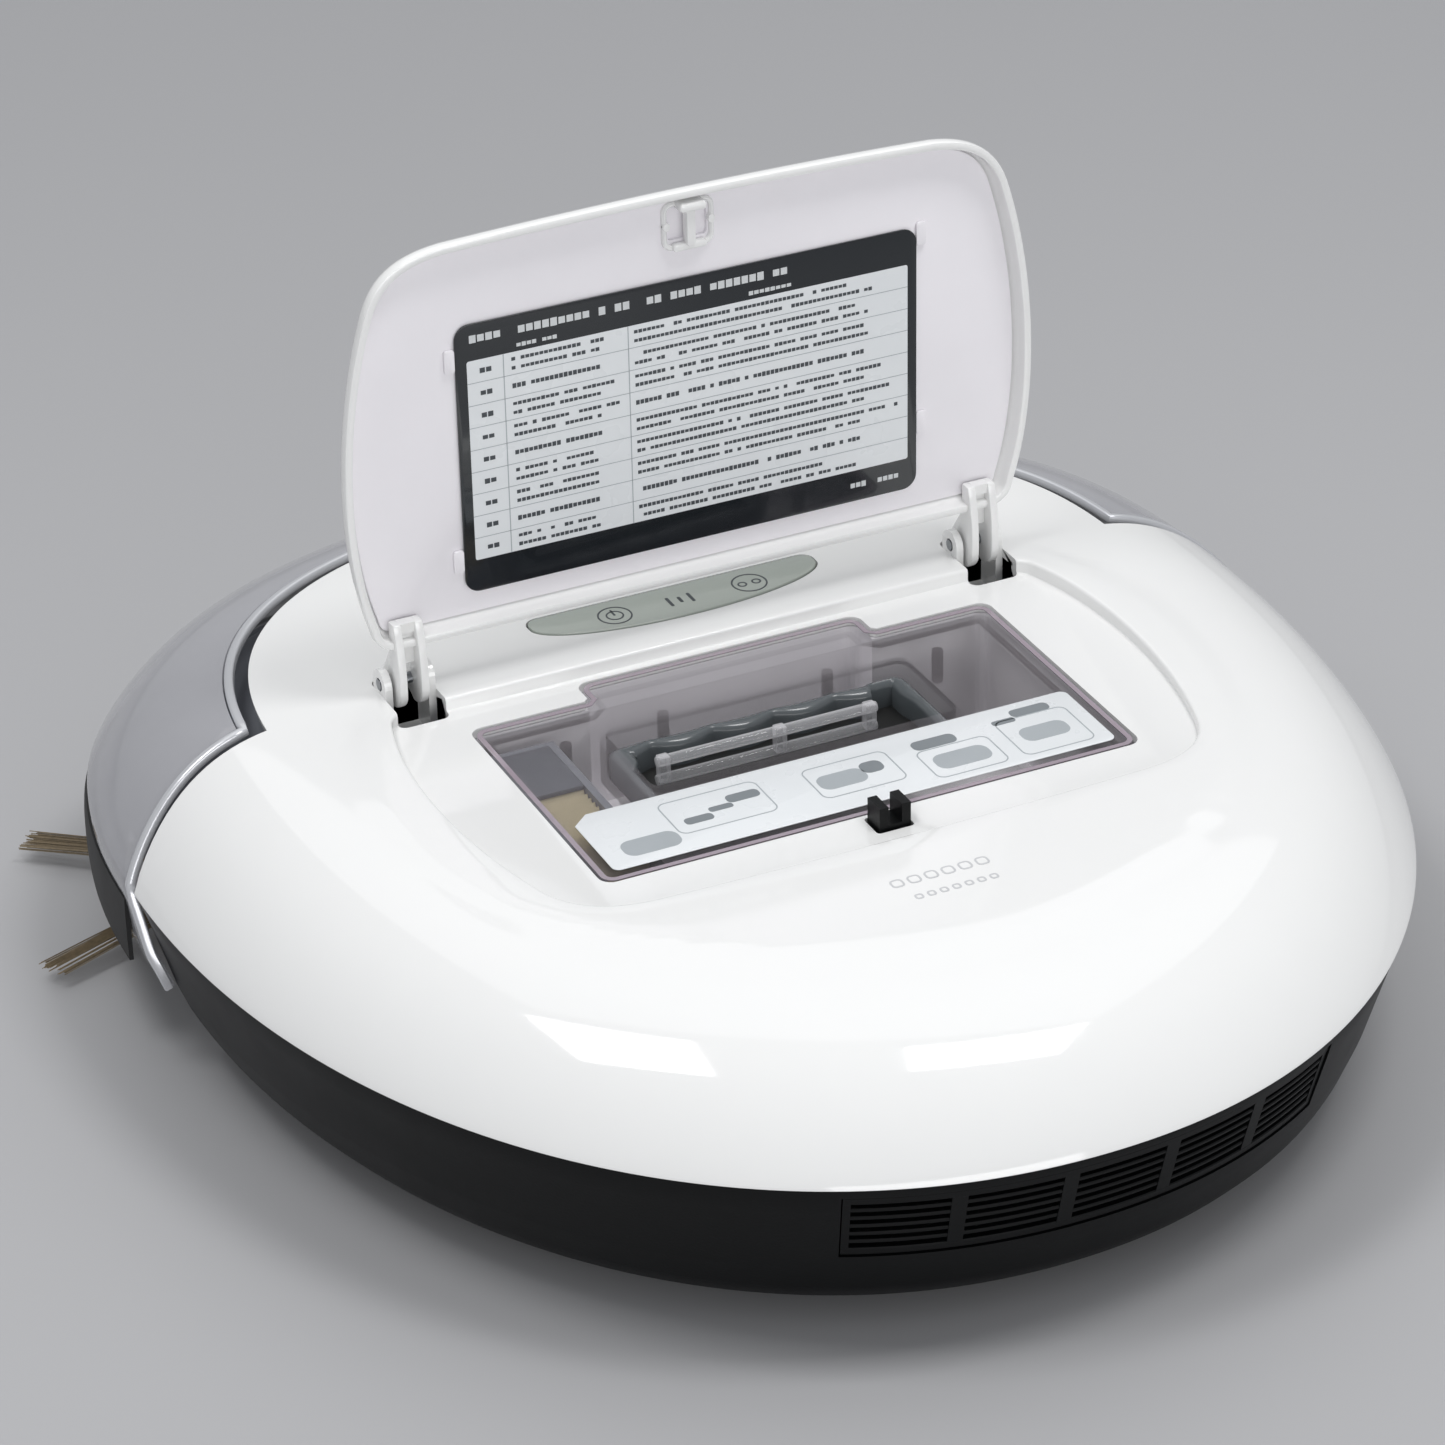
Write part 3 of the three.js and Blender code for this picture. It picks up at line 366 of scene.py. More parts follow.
def loft(name, rings, start="open", end="open", closed=True, wrap=False):
    """A skin drawn ring by ring: each ring is extruded from the last and moved to its place.

    An end stays open, is filled flat, or is drawn together to a point. Rings that aren't closed are
    rows, and wrap joins the last ring to the first.
    """
    object_mode()
    bpy.ops.object.select_all(action="DESELECT")
    bpy.ops.mesh.primitive_circle_add(vertices=len(rings[0]), radius=MM)
    piece = bpy.context.object
    piece.name = piece.data.name = name
    bpy.ops.object.mode_set(mode="EDIT")
    bpy.ops.mesh.select_mode(type="VERT")
    bpy.ops.mesh.select_all(action="SELECT")
    shape = bmesh.from_edit_mesh(piece.data)
    order = shape.verts.layers.int.new("order")
    shape.verts.layers.int.new("rank")
    for i, vert in enumerate(shape.verts):
        vert[order] = i
    bmesh.update_edit_mesh(piece.data)
    if not closed:
        bpy.ops.mesh.select_all(action="DESELECT")
        shape = bmesh.from_edit_mesh(piece.data)
        order = shape.verts.layers.int["order"]
        last = len(rings[0]) - 1
        for edge in shape.edges:
            edge.select = {edge.verts[0][order], edge.verts[1][order]} == {0, last}
        bmesh.update_edit_mesh(piece.data)
        bpy.ops.mesh.delete(type="EDGE")
        bpy.ops.mesh.select_all(action="SELECT")
    place_ring(piece, rings[0], 0)
    for i, ring in enumerate(rings[1:]):
        bpy.ops.mesh.extrude_region()
        place_ring(piece, ring, i + 1)
    for kind, number_of_ring in ((end, len(rings) - 1), (start, 0)):
        if kind == "open":
            continue
        select_rings(piece, number_of_ring)
        if kind == "flat":
            bpy.ops.mesh.edge_face_add()
        else:
            bpy.ops.mesh.merge(type="CENTER")
    if wrap:
        select_rings(piece, 0, len(rings) - 1)
        bpy.ops.mesh.bridge_edge_loops()
    bpy.ops.mesh.select_all(action="SELECT")
    bpy.ops.mesh.normals_make_consistent(inside=False)
    bpy.ops.object.mode_set(mode="OBJECT")
    for layer in ("order", "rank"):
        piece.data.attributes.remove(piece.data.attributes[layer])
    return piece


def modify(piece, kind, **settings):
    """Adds a modifier and applies it."""
    select_only(piece)
    modifier = piece.modifiers.new(kind.title(), kind)
    for name, value in settings.items():
        setattr(modifier, name, value)
    bpy.ops.object.modifier_apply(modifier=modifier.name)
    return piece


def soften(piece, width, steps=2, angle=40):
    """Rounds the edges of a moulding."""
    return modify(piece, "BEVEL", width=width, segments=steps, limit_method="ANGLE",
                  angle_limit=math.radians(angle), use_clamp_overlap=True, harden_normals=False)


def thicken(piece, thickness):
    """Gives a skin its wall, inwards from the outside face."""
    return modify(piece, "SOLIDIFY", thickness=thickness, offset=-1, use_even_offset=False)


def cut_away(piece, *cutters):
    for cutter in cutters:
        modify(piece, "BOOLEAN", operation="DIFFERENCE", object=cutter, solver="MANIFOLD")
        bpy.data.objects.remove(cutter)
    return piece


def plate(name, points, z0, z1, bevel=0.0, steps=2):
    """A flat plate cut to an outline, with softened edges."""
    piece = loft(name, [at_height(points, z0), at_height(points, z1)], start="flat", end="flat")
    return soften(piece, bevel, steps) if bevel else piece


def side_plate(name, points, x0, x1, bevel=0.0):
    """A flat plate in the y-z plane from x0 to x1; its outline is (y, z) in millimetres from the bin."""
    rings = [[Vector((x, y * MM + BIN_Y, z * MM)) for y, z in points] for x in (x0, x1)]
    piece = loft(name, rings, start="flat", end="flat")
    return soften(piece, bevel) if bevel else piece


def block(name, low, high, bevel=0.0):
    """A box between two corners, with softened edges."""
    select_nothing()
    bpy.ops.mesh.primitive_cube_add(size=1, location=(0, 0, 0))
    piece = bpy.context.object
    piece.name = piece.data.name = name
    bpy.ops.object.mode_set(mode="EDIT")
    bpy.ops.mesh.select_all(action="SELECT")
    size, middle = high - low, (high + low) / 2
    bpy.ops.transform.resize(value=size)
    bpy.ops.transform.translate(value=middle)
    bpy.ops.object.mode_set(mode="OBJECT")
    return soften(piece, bevel) if bevel else piece


def select_nothing():
    object_mode()
    bpy.ops.object.select_all(action="DESELECT")


def rod(name, start, end, radius, bevel=0.0, steps=32):
    """A round bar between two points."""
    axis = (end - start).normalized()
    across = axis.orthogonal().normalized()
    other = axis.cross(across)
    rings = [[at + radius * (math.cos(a) * across + math.sin(a) * other)
              for a in [2 * math.pi * i / steps for i in range(steps)]] for at in (start, end)]
    piece = loft(name, rings, start="flat", end="flat")
    return soften(piece, bevel) if bevel else piece


def band(name, outer, inner, z0, z1):
    """A flat ring between two outlines."""
    return loft(name, [at_height(outer, z0), at_height(outer, z1), at_height(inner, z1), at_height(inner, z0)],
                wrap=True)


def join(name, pieces):
    select_only(*pieces)
    bpy.ops.object.join()
    piece = bpy.context.object
    piece.name = piece.data.name = name
    return piece


def copy_of(piece, name, matrix):
    """A copy with its own mesh, moved by a matrix."""
    copy = piece.copy()
    copy.data = piece.data.copy()
    copy.name = copy.data.name = name
    bpy.context.scene.collection.objects.link(copy)
    copy.data.transform(matrix)
    if matrix.determinant() < 0:
        copy.data.flip_normals()
    return copy


MIRROR = Matrix.Scale(-1, 4, (1, 0, 0))


def finish(piece, body, material, replaces=(), angle=35):
    """Shades a piece, gives it its finish and ties it to the body that it moves with."""
    select_only(piece)
    bpy.ops.object.shade_smooth_by_angle(angle=math.radians(angle))
    piece.data.materials.clear()
    piece.data.materials.append(material)
    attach(piece, body)
    if replaces:
        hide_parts(*replaces)
    return piece


# ---------------------------------------------------------------- materials

def node(tree, kind, values=None, **settings):
    """Adds a node with its settings; values sets or links its sockets, by name or number."""
    made = tree.nodes.new(kind)
    for name, value in settings.items():
        setattr(made, name, value)
    for key, value in (values or {}).items():
        if isinstance(value, bpy.types.NodeSocket):
            tree.links.new(value, made.inputs[key])
        else:
            made.inputs[key].default_value = value
    return made


def surface(name, tint, roughness, grain, depth, shade=0.94, mottle=12.0, uneven=0.04, **shader_values):
    """A moulded, drawn or rolled finish.

    The tint drifts between itself and a shade of it over mottle millimetres, the roughness by uneven,
    and a bump of that depth repeats every grain millimetres.
    """
    made = bpy.data.materials.new(name)
    made.use_nodes = True
    tree = made.node_tree
    shader = tree.nodes["Principled BSDF"]
    place = node(tree, "ShaderNodeTexCoord").outputs["Object"]
    drift = node(tree, "ShaderNodeTexNoise", {"Vector": place, "Scale": 1 / (mottle * MM), "Detail": 3.0})
    darker = tuple(c * shade for c in tint[:3]) + (1.0,)
    tone = node(tree, "ShaderNodeMix", {0: drift.outputs[0], 6: tuple(tint), 7: darker}, data_type="RGBA")
    tree.links.new(tone.outputs[2], shader.inputs["Base Color"])
    gloss = node(tree, "ShaderNodeMapRange", {"Value": drift.outputs[0], "To Min": max(0.0, roughness - uneven),
                                              "To Max": roughness + uneven})
    tree.links.new(gloss.outputs[0], shader.inputs["Roughness"])
    fine = node(tree, "ShaderNodeTexNoise", {"Vector": place, "Scale": 1 / (grain * MM), "Detail": 2.0})
    relief = node(tree, "ShaderNodeBump", {"Height": fine.outputs[0], "Distance": depth * MM, "Strength": 0.5})
    tree.links.new(relief.outputs[0], shader.inputs["Normal"])
    for socket, value in shader_values.items():
        shader.inputs[socket.replace("_", " ")].default_value = value
    return made


def make_materials():
    """Each finish, from what the real material is and how its surface was made."""
    c = of("colours")
    made = {
        # ABS moulded in a polished tool: deep gloss over a faint, wide ripple
        "cover": surface("polished_white_abs", c.cover, 0.07, 9.0, 0.010, shade=0.985, uneven=0.015,
                         IOR=1.54, Coat_Weight=0.35, Coat_Roughness=0.04),
        # ABS moulded in a lightly blasted tool: soft satin with a mauve cast
        "inner": surface("satin_white_abs", c.inner, 0.3, 0.9, 0.03, shade=0.97, IOR=1.54),
        # ABS moulded in a spark-eroded tool: black with a fine stipple that greys its highlights
        "base": surface("stippled_black_abs", c.base, 0.42, 0.7, 0.05, shade=0.8, IOR=1.5, Specular_IOR_Level=0.18),
        "grey": surface("satin_grey_abs", c.inner_grey, 0.42, 0.8, 0.04, shade=0.9, IOR=1.5),
        # silver paint under lacquer over ABS: pale, with bright edges
        "trim": surface("satin_plated_trim", c.trim, 0.2, 0.6, 0.01, shade=0.93, Metallic=0.45, Coat_Weight=0.5),
        # carbon-filled rubber: dull black with a dusty bloom
        "rubber": surface("moulded_rubber", c.rubber, 0.62, 0.5, 0.06, shade=0.75, uneven=0.08),
        # silicone straight from the tool: soft, with a wet-looking edge
        "gasket": surface("grey_silicone", c.gasket, 0.22, 1.2, 0.02, shade=0.85, Coat_Weight=0.4),
        "film": surface("touch_film", c.film, 0.25, 0.6, 0.01, shade=0.96, Coat_Weight=0.5),
        "ink": surface("screen_ink", c.ink, 0.4, 0.4, 0.01, shade=0.8),
        "label_black": surface("gloss_black_film", linear("#1E2226"), 0.14, 0.8, 0.006, shade=0.85, Coat_Weight=0.4),
        "rule": surface("grey_screen_ink", linear("#AEB4B8"), 0.4, 0.4, 0.01, shade=0.85),
        "rule_dark": surface("dark_grey_screen_ink", linear("#83898D"), 0.4, 0.4, 0.01, shade=0.85),
        "faint_ink": surface("pale_grey_screen_ink", linear("#C9CACC"), 0.35, 0.4, 0.01, shade=0.93),
        "pale_ink": surface("white_screen_ink", linear("#D9DCDD"), 0.4, 0.4, 0.01, shade=0.9),
        "grey_dark": surface("dark_grey_abs", linear("#4A4E55"), 0.4, 0.8, 0.03, shade=0.85),
        "hub_red": surface("red_brown_hub", linear("#7A3A32"), 0.4, 0.8, 0.03, shade=0.8),
        "floor": surface("studio_floor", c.floor, 0.55, 3.0, 0.01, shade=0.97, mottle=400.0),
        # painted rim line: an opaque darker lilac that stands in for the reflections and edge-on shade which the
        # see-through bin finish loses
        "lilac_painted_rim_line": surface("painted_rim_line_polycarbonate", linear("#A396A0"), 0.1, 3.0, 0.01, shade=0.9,
                              Coat_Weight=0.6),
        "clear": surface("clear_handle_polycarbonate", linear("#F0EFF2"), 0.06, 9.0, 0.01, shade=0.96,
                         IOR=1.58, Coat_Weight=0.8),
        "paper": surface("printed_film", c.paper, 0.28, 0.6, 0.01, shade=0.96, Coat_Weight=0.3),
        "bristle": surface("nylon_bristle", c.bristle, 0.45, 0.5, 0.02, shade=0.35, mottle=1.4, uneven=0.1),
        "filter": surface("filter_paper", c.filter, 0.9, 0.35, 0.12, shade=0.85, mottle=3.0),
        "steel": surface("drawn_steel", linear("#8F9296"), 0.3, 0.4, 0.02, Metallic=1.0),
        "nickel": surface("nickel_plate", linear("#C9C5BA"), 0.22, 0.5, 0.01, Metallic=1.0),
        "blue": surface("blue_brush_rubber", linear("#27466F"), 0.5, 0.6, 0.05, shade=0.8),
        "board": surface("circuit_laminate", linear("#1F5B3A"), 0.4, 1.5, 0.03, shade=0.7),
        "sleeve": surface("battery_sleeve", linear("#2D4F86"), 0.35, 2.0, 0.05, shade=0.85),
        # clear polycarbonate seen edge-on is denser than seen face-on
        "smoke": surface("smoke_polycarbonate", c.smoke, 0.1, 6.0, 0.01, shade=0.93, uneven=0.02,
                         IOR=1.58, Coat_Weight=0.6, Coat_Roughness=0.05),
        "lilac": surface("lilac_polycarbonate", c.lilac, 0.05, 5.0, 0.01, shade=0.95, uneven=0.01,
                         IOR=1.58, Coat_Weight=0.8, Coat_Roughness=0.03),
    }
    for key, face_on, edge_on in (("smoke", 0.5, 0.95), ("lilac", 0.025, 0.09), ("clear", 0.15, 0.8)):
        tree = made[key].node_tree
        facing = node(tree, "ShaderNodeLayerWeight", {"Blend": 0.35})
        density = node(tree, "ShaderNodeMapRange", {"Value": facing.outputs["Facing"], "To Min": face_on,
                                                    "To Max": edge_on})
        tree.links.new(density.outputs[0], tree.nodes["Principled BSDF"].inputs["Alpha"])
    return made


MATERIALS = {}


# ---------------------------------------------------------------- pieces

class PieceOperator:
    """What every piece's operator shares."""
    bl_options = {"REGISTER", "UNDO"}


class VACUUM_OT_materials(PieceOperator, Operator):
    """Make the finishes"""
    bl_idname = "vacuum.materials"
    bl_label = "Finishes"

    def execute(self, context):
        MATERIALS.update(make_materials())
        return {"FINISHED"}


def front_arc(inset, count):
    """The line over the nose, from left to right, at one inset from the seam."""
    turn = side_turn(inset, 0.0)
    return [Vector((*outline(t, inset), 0)) for t in between(math.pi - turn, turn, count)]


def side_turn(inset, back):
    """The turn at which the dome line at an inset crosses the bumper's edge plane, moved forward by back."""
    y = edge_y(dome_height(inset, of("bumper").edge_y)) + back
    for _ in range(4):
        y = edge_y(dome_height(inset, y)) + back
    return turn_at(y, inset)


def cover_edge():
    """The cover's outer edge: round the tail at the seam, up the slanted side and over the nose."""
    bumper, count = of("bumper"), of("body").steps
    seam_turn = side_turn(0.0, 0.0)
    tail = [Vector((*outline(t, 0.0), 0)) for t in between(seam_turn, -math.pi - seam_turn, count)]
    left = []
    for inset in between(0.0, bumper.band, 18)[1:-1]:
        x, y = outline(side_turn(inset, 0.0), inset)
        left.append(Vector((-x, y, 0)))
    nose = front_arc(bumper.band, 2 * count // 3)
    right = [Vector((-p.x, p.y, 0)) for p in reversed(left)]
    return tail + left + nose + right


class VACUUM_OT_cover(PieceOperator, Operator):
    """Model the glossy white top cover with the lid recess"""
    bl_idname = "vacuum.cover"
    bl_label = "Top cover"

    def execute(self, context):
        body, lid = of("body"), of("lid")
        middle = mm(0, -5)
        edge = cover_edge()
        recess = moved_in(lid_outline(), -lid.fit)
        lip = 0.9 * MM
        target = on_rays(moved_in(recess, -lip), edge, middle)
        rings = []
        for step in between(0.0, 1.0, 30):
            share = step ** 1.7
            ring = [a.lerp(b, share) for a, b in zip(edge, target)]
            rings.append([Vector((p.x, p.y, cover_height(p.x, p.y))) for p in ring])
        top = rings[-1]
        for grow, drop in ((0.45, 0.12), (0.15, 0.4), (0.0, 0.9)):
            ring = on_rays(moved_in(recess, -grow * MM), edge, middle)
            rings.append([Vector((p.x, p.y, q.z - drop * MM)) for p, q in zip(ring, top)])
        for grow, rise in ((0.0, 0.6), (-0.2, 0.15), (-0.7, 0.0)):
            ring = on_rays(moved_in(recess, -grow * MM), edge, middle)
            rings.append(at_height(ring, lid.recess_z + rise * MM))
        cover = loft("top_cover", rings, end="flat")
        thicken(cover, body.wall)
        soften(cover, 0.6 * MM, 3, 60)
        high = 120 * MM
        bin_hole = bin_outline(lid.fit)
        hinge = lid.hinge_x / MM
        pockets = [plate("pocket", rounded(s * hinge - 6.8, s * hinge + 6.8, 45, 65.5, 2.2), 60 * MM, high)
                   for s in (LEFT, RIGHT)]
        cut_away(cover, plate("bin_hole", bin_hole, 60 * MM, high), *pockets,
                 plate("panel_hole", panel_outline(0.5), lid.recess_z + 1.2 * MM, high),
                 plate("window_hole", circle(0, 106, 9.3, 48), 60 * MM, high),
                 plate("latch_hole", rounded(-5, 5, -54, -46, 1), 60 * MM, high))
        finish(cover, "chassis", MATERIALS["cover"], ["top_shell"], 40)
        marks = []
        for x0, y0, width, depth, count in ((-14.5, -80.6, 3.4, 3.4, 6), (-11.8, -87.2, 2.2, 2.2, 7)):
            for i in range(count):
                x = x0 + i * (width + 1.1)
                z = cover_height((x + width / 2) * MM, (y0 + depth / 2) * MM + BIN_Y)
                outer = rounded(x, x + width, y0, y0 + depth, width * 0.35, 4)
                marks.append(band("mark", outer, moved_in(outer, 0.5 * MM), z - 0.2 * MM, z + 0.06 * MM))
        finish(join("shell_mark", marks), "chassis", MATERIALS["faint_ink"])
        return {"FINISHED"}


def bin_outline(grow):
    """The bin's outline: a rectangle with a wide tab at the front."""
    g = grow / MM
    x, tab, rear, front, far = 72 + g, 39 + g, -44 - g, 36 + g, 45 + g
    points = rounded(-x, x, rear, front, 3.5)
    right_front = points[:7]
    rest = points[7:]
    lobe = rounded(-tab, tab, 0, far, 3.5)
    notch_right, notch_left = mm(tab + 1.2, front), mm(-tab - 1.2, front)
    return right_front + [notch_right, mm(tab, front + 1.2)] + lobe[:14] + [mm(-tab, front + 1.2), notch_left] + rest


def panel_outline(grow):
    """The touch panel: straight in front, bowed towards the bin behind."""
    points = [mm(-36, 75.5), mm(36, 75.5)]
    front = [mm(37.5 + 3 * math.cos(a), 72.5 + 3 * math.sin(a)) for a in between(math.pi / 2, 0, 6)]
    bow = [mm(40.5 * math.cos(a), 71 - 11 * math.sin(a)) for a in between(0, math.pi, 40)]
    back = [mm(-37.5 - 3 * math.cos(a), 72.5 + 3 * math.sin(a)) for a in between(0, math.pi / 2, 6)]
    ring = front + bow[1:-1] + back
    return moved_in(list(reversed(ring)), -grow * MM)


class VACUUM_OT_panel(PieceOperator, Operator):
    """Model the touch panel, its three marks and the camera window"""
    bl_idname = "vacuum.panel"
    bl_label = "Touch panel"

    def execute(self, context):
        low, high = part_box("control_panel")
        panel = plate("touch_panel", panel_outline(0), low.z, high.z, 0.35 * MM)
        finish(panel, "chassis", MATERIALS["film"], ["control_panel"])
        marks = []
        z = (high.z, high.z + 0.06 * MM)
        for x, radius in ((-18.5, 4.6), (-18.5, 2.4), (19.8, 4.8), (17.8, 1.3), (21.8, 1.3)):
            marks.append(band("ring", circle(x, 67.5, radius), circle(x, 67.5, radius - 0.45), *z))
        marks.append(plate("stem", rounded(-18.8, -18.2, 67.5, 70.6, 0.25, 3), *z))
        for x in (-3, 0, 3):
            marks.append(plate("bar", rounded(x - 0.45, x + 0.45, 66.0 - abs(x) * 0.3, 69.0 + abs(x) * 0.3, 0.4, 3), *z))
        finish(join("panel_marks", marks), "chassis", MATERIALS["ink"])
        low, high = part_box("camera_window")
        rings = [at_height(circle(0, 106, r, 48), z) for r, z in
                 ((9, low.z), (9, high.z - 0.5 * MM), (8.6, high.z - 0.05 * MM), (7.4, high.z),
                  (7, high.z - 0.4 * MM), (4, high.z - 0.15 * MM), (1.5, high.z - 0.05 * MM))]
        window = loft("camera_glass", rings, start="flat", end="point")
        finish(window, "chassis", MATERIALS["rubber"], ["camera_window"])
        return {"FINISHED"}


BASE_WALL = ((0.6, 48.7), (2.6, 41.0), (5.3, 31.6), (7.7, 23.0), (8.2, 21.6), (10.8, 14.8), (11.6, 13.2), (15.0, 9.3),
             (15.4, 9.0))


def wall_inset(z, depth=0.0):
    """The base wall leans in below the seam."""
    rows = sorted((high * MM, step * MM) for step, high in BASE_WALL)
    for (z0, a), (z1, b) in zip(rows, rows[1:]):
        if z <= z1:
            return a + (b - a) * max(0.0, (z - z0) / (z1 - z0)) + depth
    return rows[-1][1] + depth


def base_ring(step, z):
    bumper, count = of("bumper"), of("body").steps
    y = edge_y(z)
    rear, front = turn_at(y, step), turn_at(y, step, bumper.setback)
    tail = [outline(t, step) for t in between(rear, -math.pi - rear, count)]
    nose = [outline(t, step, bumper.setback) for t in between(math.pi - front, front, count // 2)]
    return [Vector((x, y, z)) for x, y in tail + nose]


class VACUUM_OT_base(PieceOperator, Operator):
    """Model the black base with its openings"""
    bl_idname = "vacuum.base"
    bl_label = "Base"

    def execute(self, context):
        body = of("body")
        base = loft("base_moulding", [base_ring(step * MM, z * MM) for step, z in BASE_WALL], end="flat")
        thicken(base, body.wall)
        soften(base, 0.5 * MM, 2, 60)
        top = 20 * MM
        wells = [plate("well", rounded(*sorted((s * 89.3, s * 129)), -47, 31, 1.5), 0, 47 * MM) for s in (LEFT, RIGHT)]
        sweeps = [plate("sweep", circle(s * 108, 108, 14), 0, top) for s in (LEFT, RIGHT)]
        feet = [plate("foot", rounded(*sorted((s * 29.7, s * 40.3)), 103.7, 112.3, 0.5), 0, top)
                for s in (LEFT, RIGHT)]
        cut_away(base, *wells, *sweeps, *feet,
                 plate("brush_mouth", rounded(-88, 88, -96, -48, 2), 0, top),
                 plate("caster_hole", circle(0, 126, 22, 48), 0, top),
                 plate("battery_hole", rounded(-68, 68, 50, 98, 2), 0, top),
                 plate("switch_hole", rounded(36, 52, 12, 22, 1), 0, top),
                 grille_slot())
        finish(base, "chassis", MATERIALS["base"], ["base_shell"], 40)
        return {"FINISHED"}


GRILLE_START, GRILLE_SWEEP = -1.89, 0.68
GRILLE_LOW, GRILLE_HIGH = 26, 46
GRILLE_BAYS, GRILLE_SLOTS = 5, 6


def on_wall(angle, z, depth):
    """A point of the rear wall at an angle round the widest place, set in by depth."""
    body = of("body")
    inset = wall_inset(z, depth)
    across, along = body.half_width - inset, body.rear_length - inset
    cos, sin = math.cos(angle), math.sin(angle)
    power = body.rear_power
    radius = ((abs(cos) / across) ** power + (abs(sin) / along) ** power) ** (-1 / power)
    return Vector((radius * cos, body.widest_y + radius * sin, z))


def grille_slot():
    angles = between(GRILLE_START, GRILLE_START + GRILLE_SWEEP, 30)
    z = GRILLE_LOW * MM
    outer = [on_wall(a, z, -12 * MM) for a in angles]
    inner = [on_wall(a, z, 14 * MM) for a in reversed(angles)]
    return plate("slot", outer + inner, z, GRILLE_HIGH * MM)


def wall_bar(name, start, end, low, high, front, back, steps=40):
    """A bar that follows the rear wall, with rounded outer edges."""
    rings = []
    for angle in between(start, end, steps):
        nick = min(0.3 * MM, (high - low) / 4)
        section = ((low + nick, front), (low, front + nick), (low, back), (high, back), (high, front + nick),
                   (high - nick, front))
        rings.append([on_wall(angle, z, depth) for z, depth in section])
    return loft(name, rings, start="flat", end="flat")


class VACUUM_OT_grille(PieceOperator, Operator):
    """Model the exhaust grille let into the rear wall"""
    bl_idname = "vacuum.grille"
    bl_label = "Exhaust grille"

    def execute(self, context):
        start, end = GRILLE_START + 0.002, GRILLE_START + GRILLE_SWEEP - 0.002
        low, high = (GRILLE_LOW + 0.3) * MM, (GRILLE_HIGH - 0.3) * MM
        pitch = (GRILLE_HIGH - GRILLE_LOW - 4) / GRILLE_SLOTS * MM
        first = low + 2.3 * MM
        front, back = 0.4 * MM, 2.9 * MM
        bars = [wall_bar("rail", start, end, low, first, front, back),
                wall_bar("rail", start, end, first + pitch * (GRILLE_SLOTS - 1) + 0.55 * pitch, high, front, back)]
        for slot in range(1, GRILLE_SLOTS):
            z = first + pitch * slot
            bars.append(wall_bar("slat", start, end, z - 0.45 * pitch, z, front + 0.2 * MM, back))
        sweep = end - start
        for bay in range(GRILLE_BAYS + 1):
            middle = start + sweep * bay / GRILLE_BAYS
            half = 0.07 * sweep / GRILLE_BAYS
            bars.append(wall_bar("rib", max(start, middle - half), min(end, middle + half), low + 0.1 * MM,
                                 high - 0.1 * MM, front + 0.05 * MM, back + 0.3 * MM, 4))
        finish(join("grille", bars), "chassis", MATERIALS["base"], ["exhaust_grille"])
        return {"FINISHED"}


def bumper_inset(z):
    """Inset of the bumper's skin below the seam."""
    rows = ((22, 5.0), (32, 1.5), (45, 0.0), (49, 0.0))
    for (z0, a), (z1, b) in zip(rows, rows[1:]):
        if z <= z1 * MM:
            return (a + (b - a) * max(0.0, (z / MM - z0) / (z1 - z0))) * MM
    return 0.0


def bumper_point(turn, rise, seat=False):
    """A point of the bumper's skin. rise is height below the seam if negative, else inset above it."""
    body, bumper = of("body"), of("bumper")
    if rise < 0:
        z = body.seam_z + rise
        inset = bumper_inset(z)
        x, y = outline(turn, inset)
        in_strip = bumper.strip_low - 0.4 * MM < z < bumper.strip_high + 0.4 * MM
        if seat and in_strip and y > edge_y(z) + bumper.gap + 10.4 * MM:
            x, y = outline(turn, max(inset, 1.4 * MM))
        return Vector((x, y, z))
    x, y = outline(turn, rise)
    return Vector((x, y, dome_height(rise, y)))


def bumper_turn(rise, forward):
    """The turn at which a line of the bumper's skin meets its edge plane, moved forward."""
    if rise >= 0:
        return side_turn(rise, forward)
    z = of("body").seam_z + rise
    return turn_at(edge_y(z) + forward, bumper_inset(z))


class VACUUM_OT_bumper(PieceOperator, Operator):
    """Model the clear bumper"""
    bl_idname = "vacuum.bumper"
    bl_label = "Bumper"

    def execute(self, context):
        body, bumper = of("body"), of("bumper")
        forward = bumper.gap + bumper.trim + 0.3 * MM
        seam = body.seam_z / MM
        lows = [z - seam for z in (22, 23.2, 24.5, 24.7, 28, 32, 36, 40, 43.3, 43.5, 45, 47)]
        highs = [0.0, 0.5, 1.2, 2.2, 3.6, 5.4, 7.6, 10.2, 13.2, 16.6, 20.4, 24.6, 29.2]
        top = (bumper.band - bumper.gap - bumper.trim - 0.3 * MM) / MM
        rows = []
        for rise in lows + highs + [top - 1.5, top]:
            turn = bumper_turn(rise * MM, forward)
            rows.append([bumper_point(t, rise * MM, seat=True) for t in between(math.pi - turn, turn, body.steps)])
        skin = loft("clear_bumper", rows, closed=False)
        thicken(skin, bumper.wall)
        soften(skin, 0.5 * MM, 2, 60)
        finish(skin, "bumper", MATERIALS["smoke"], ["bumper"], 40)
        return {"FINISHED"}


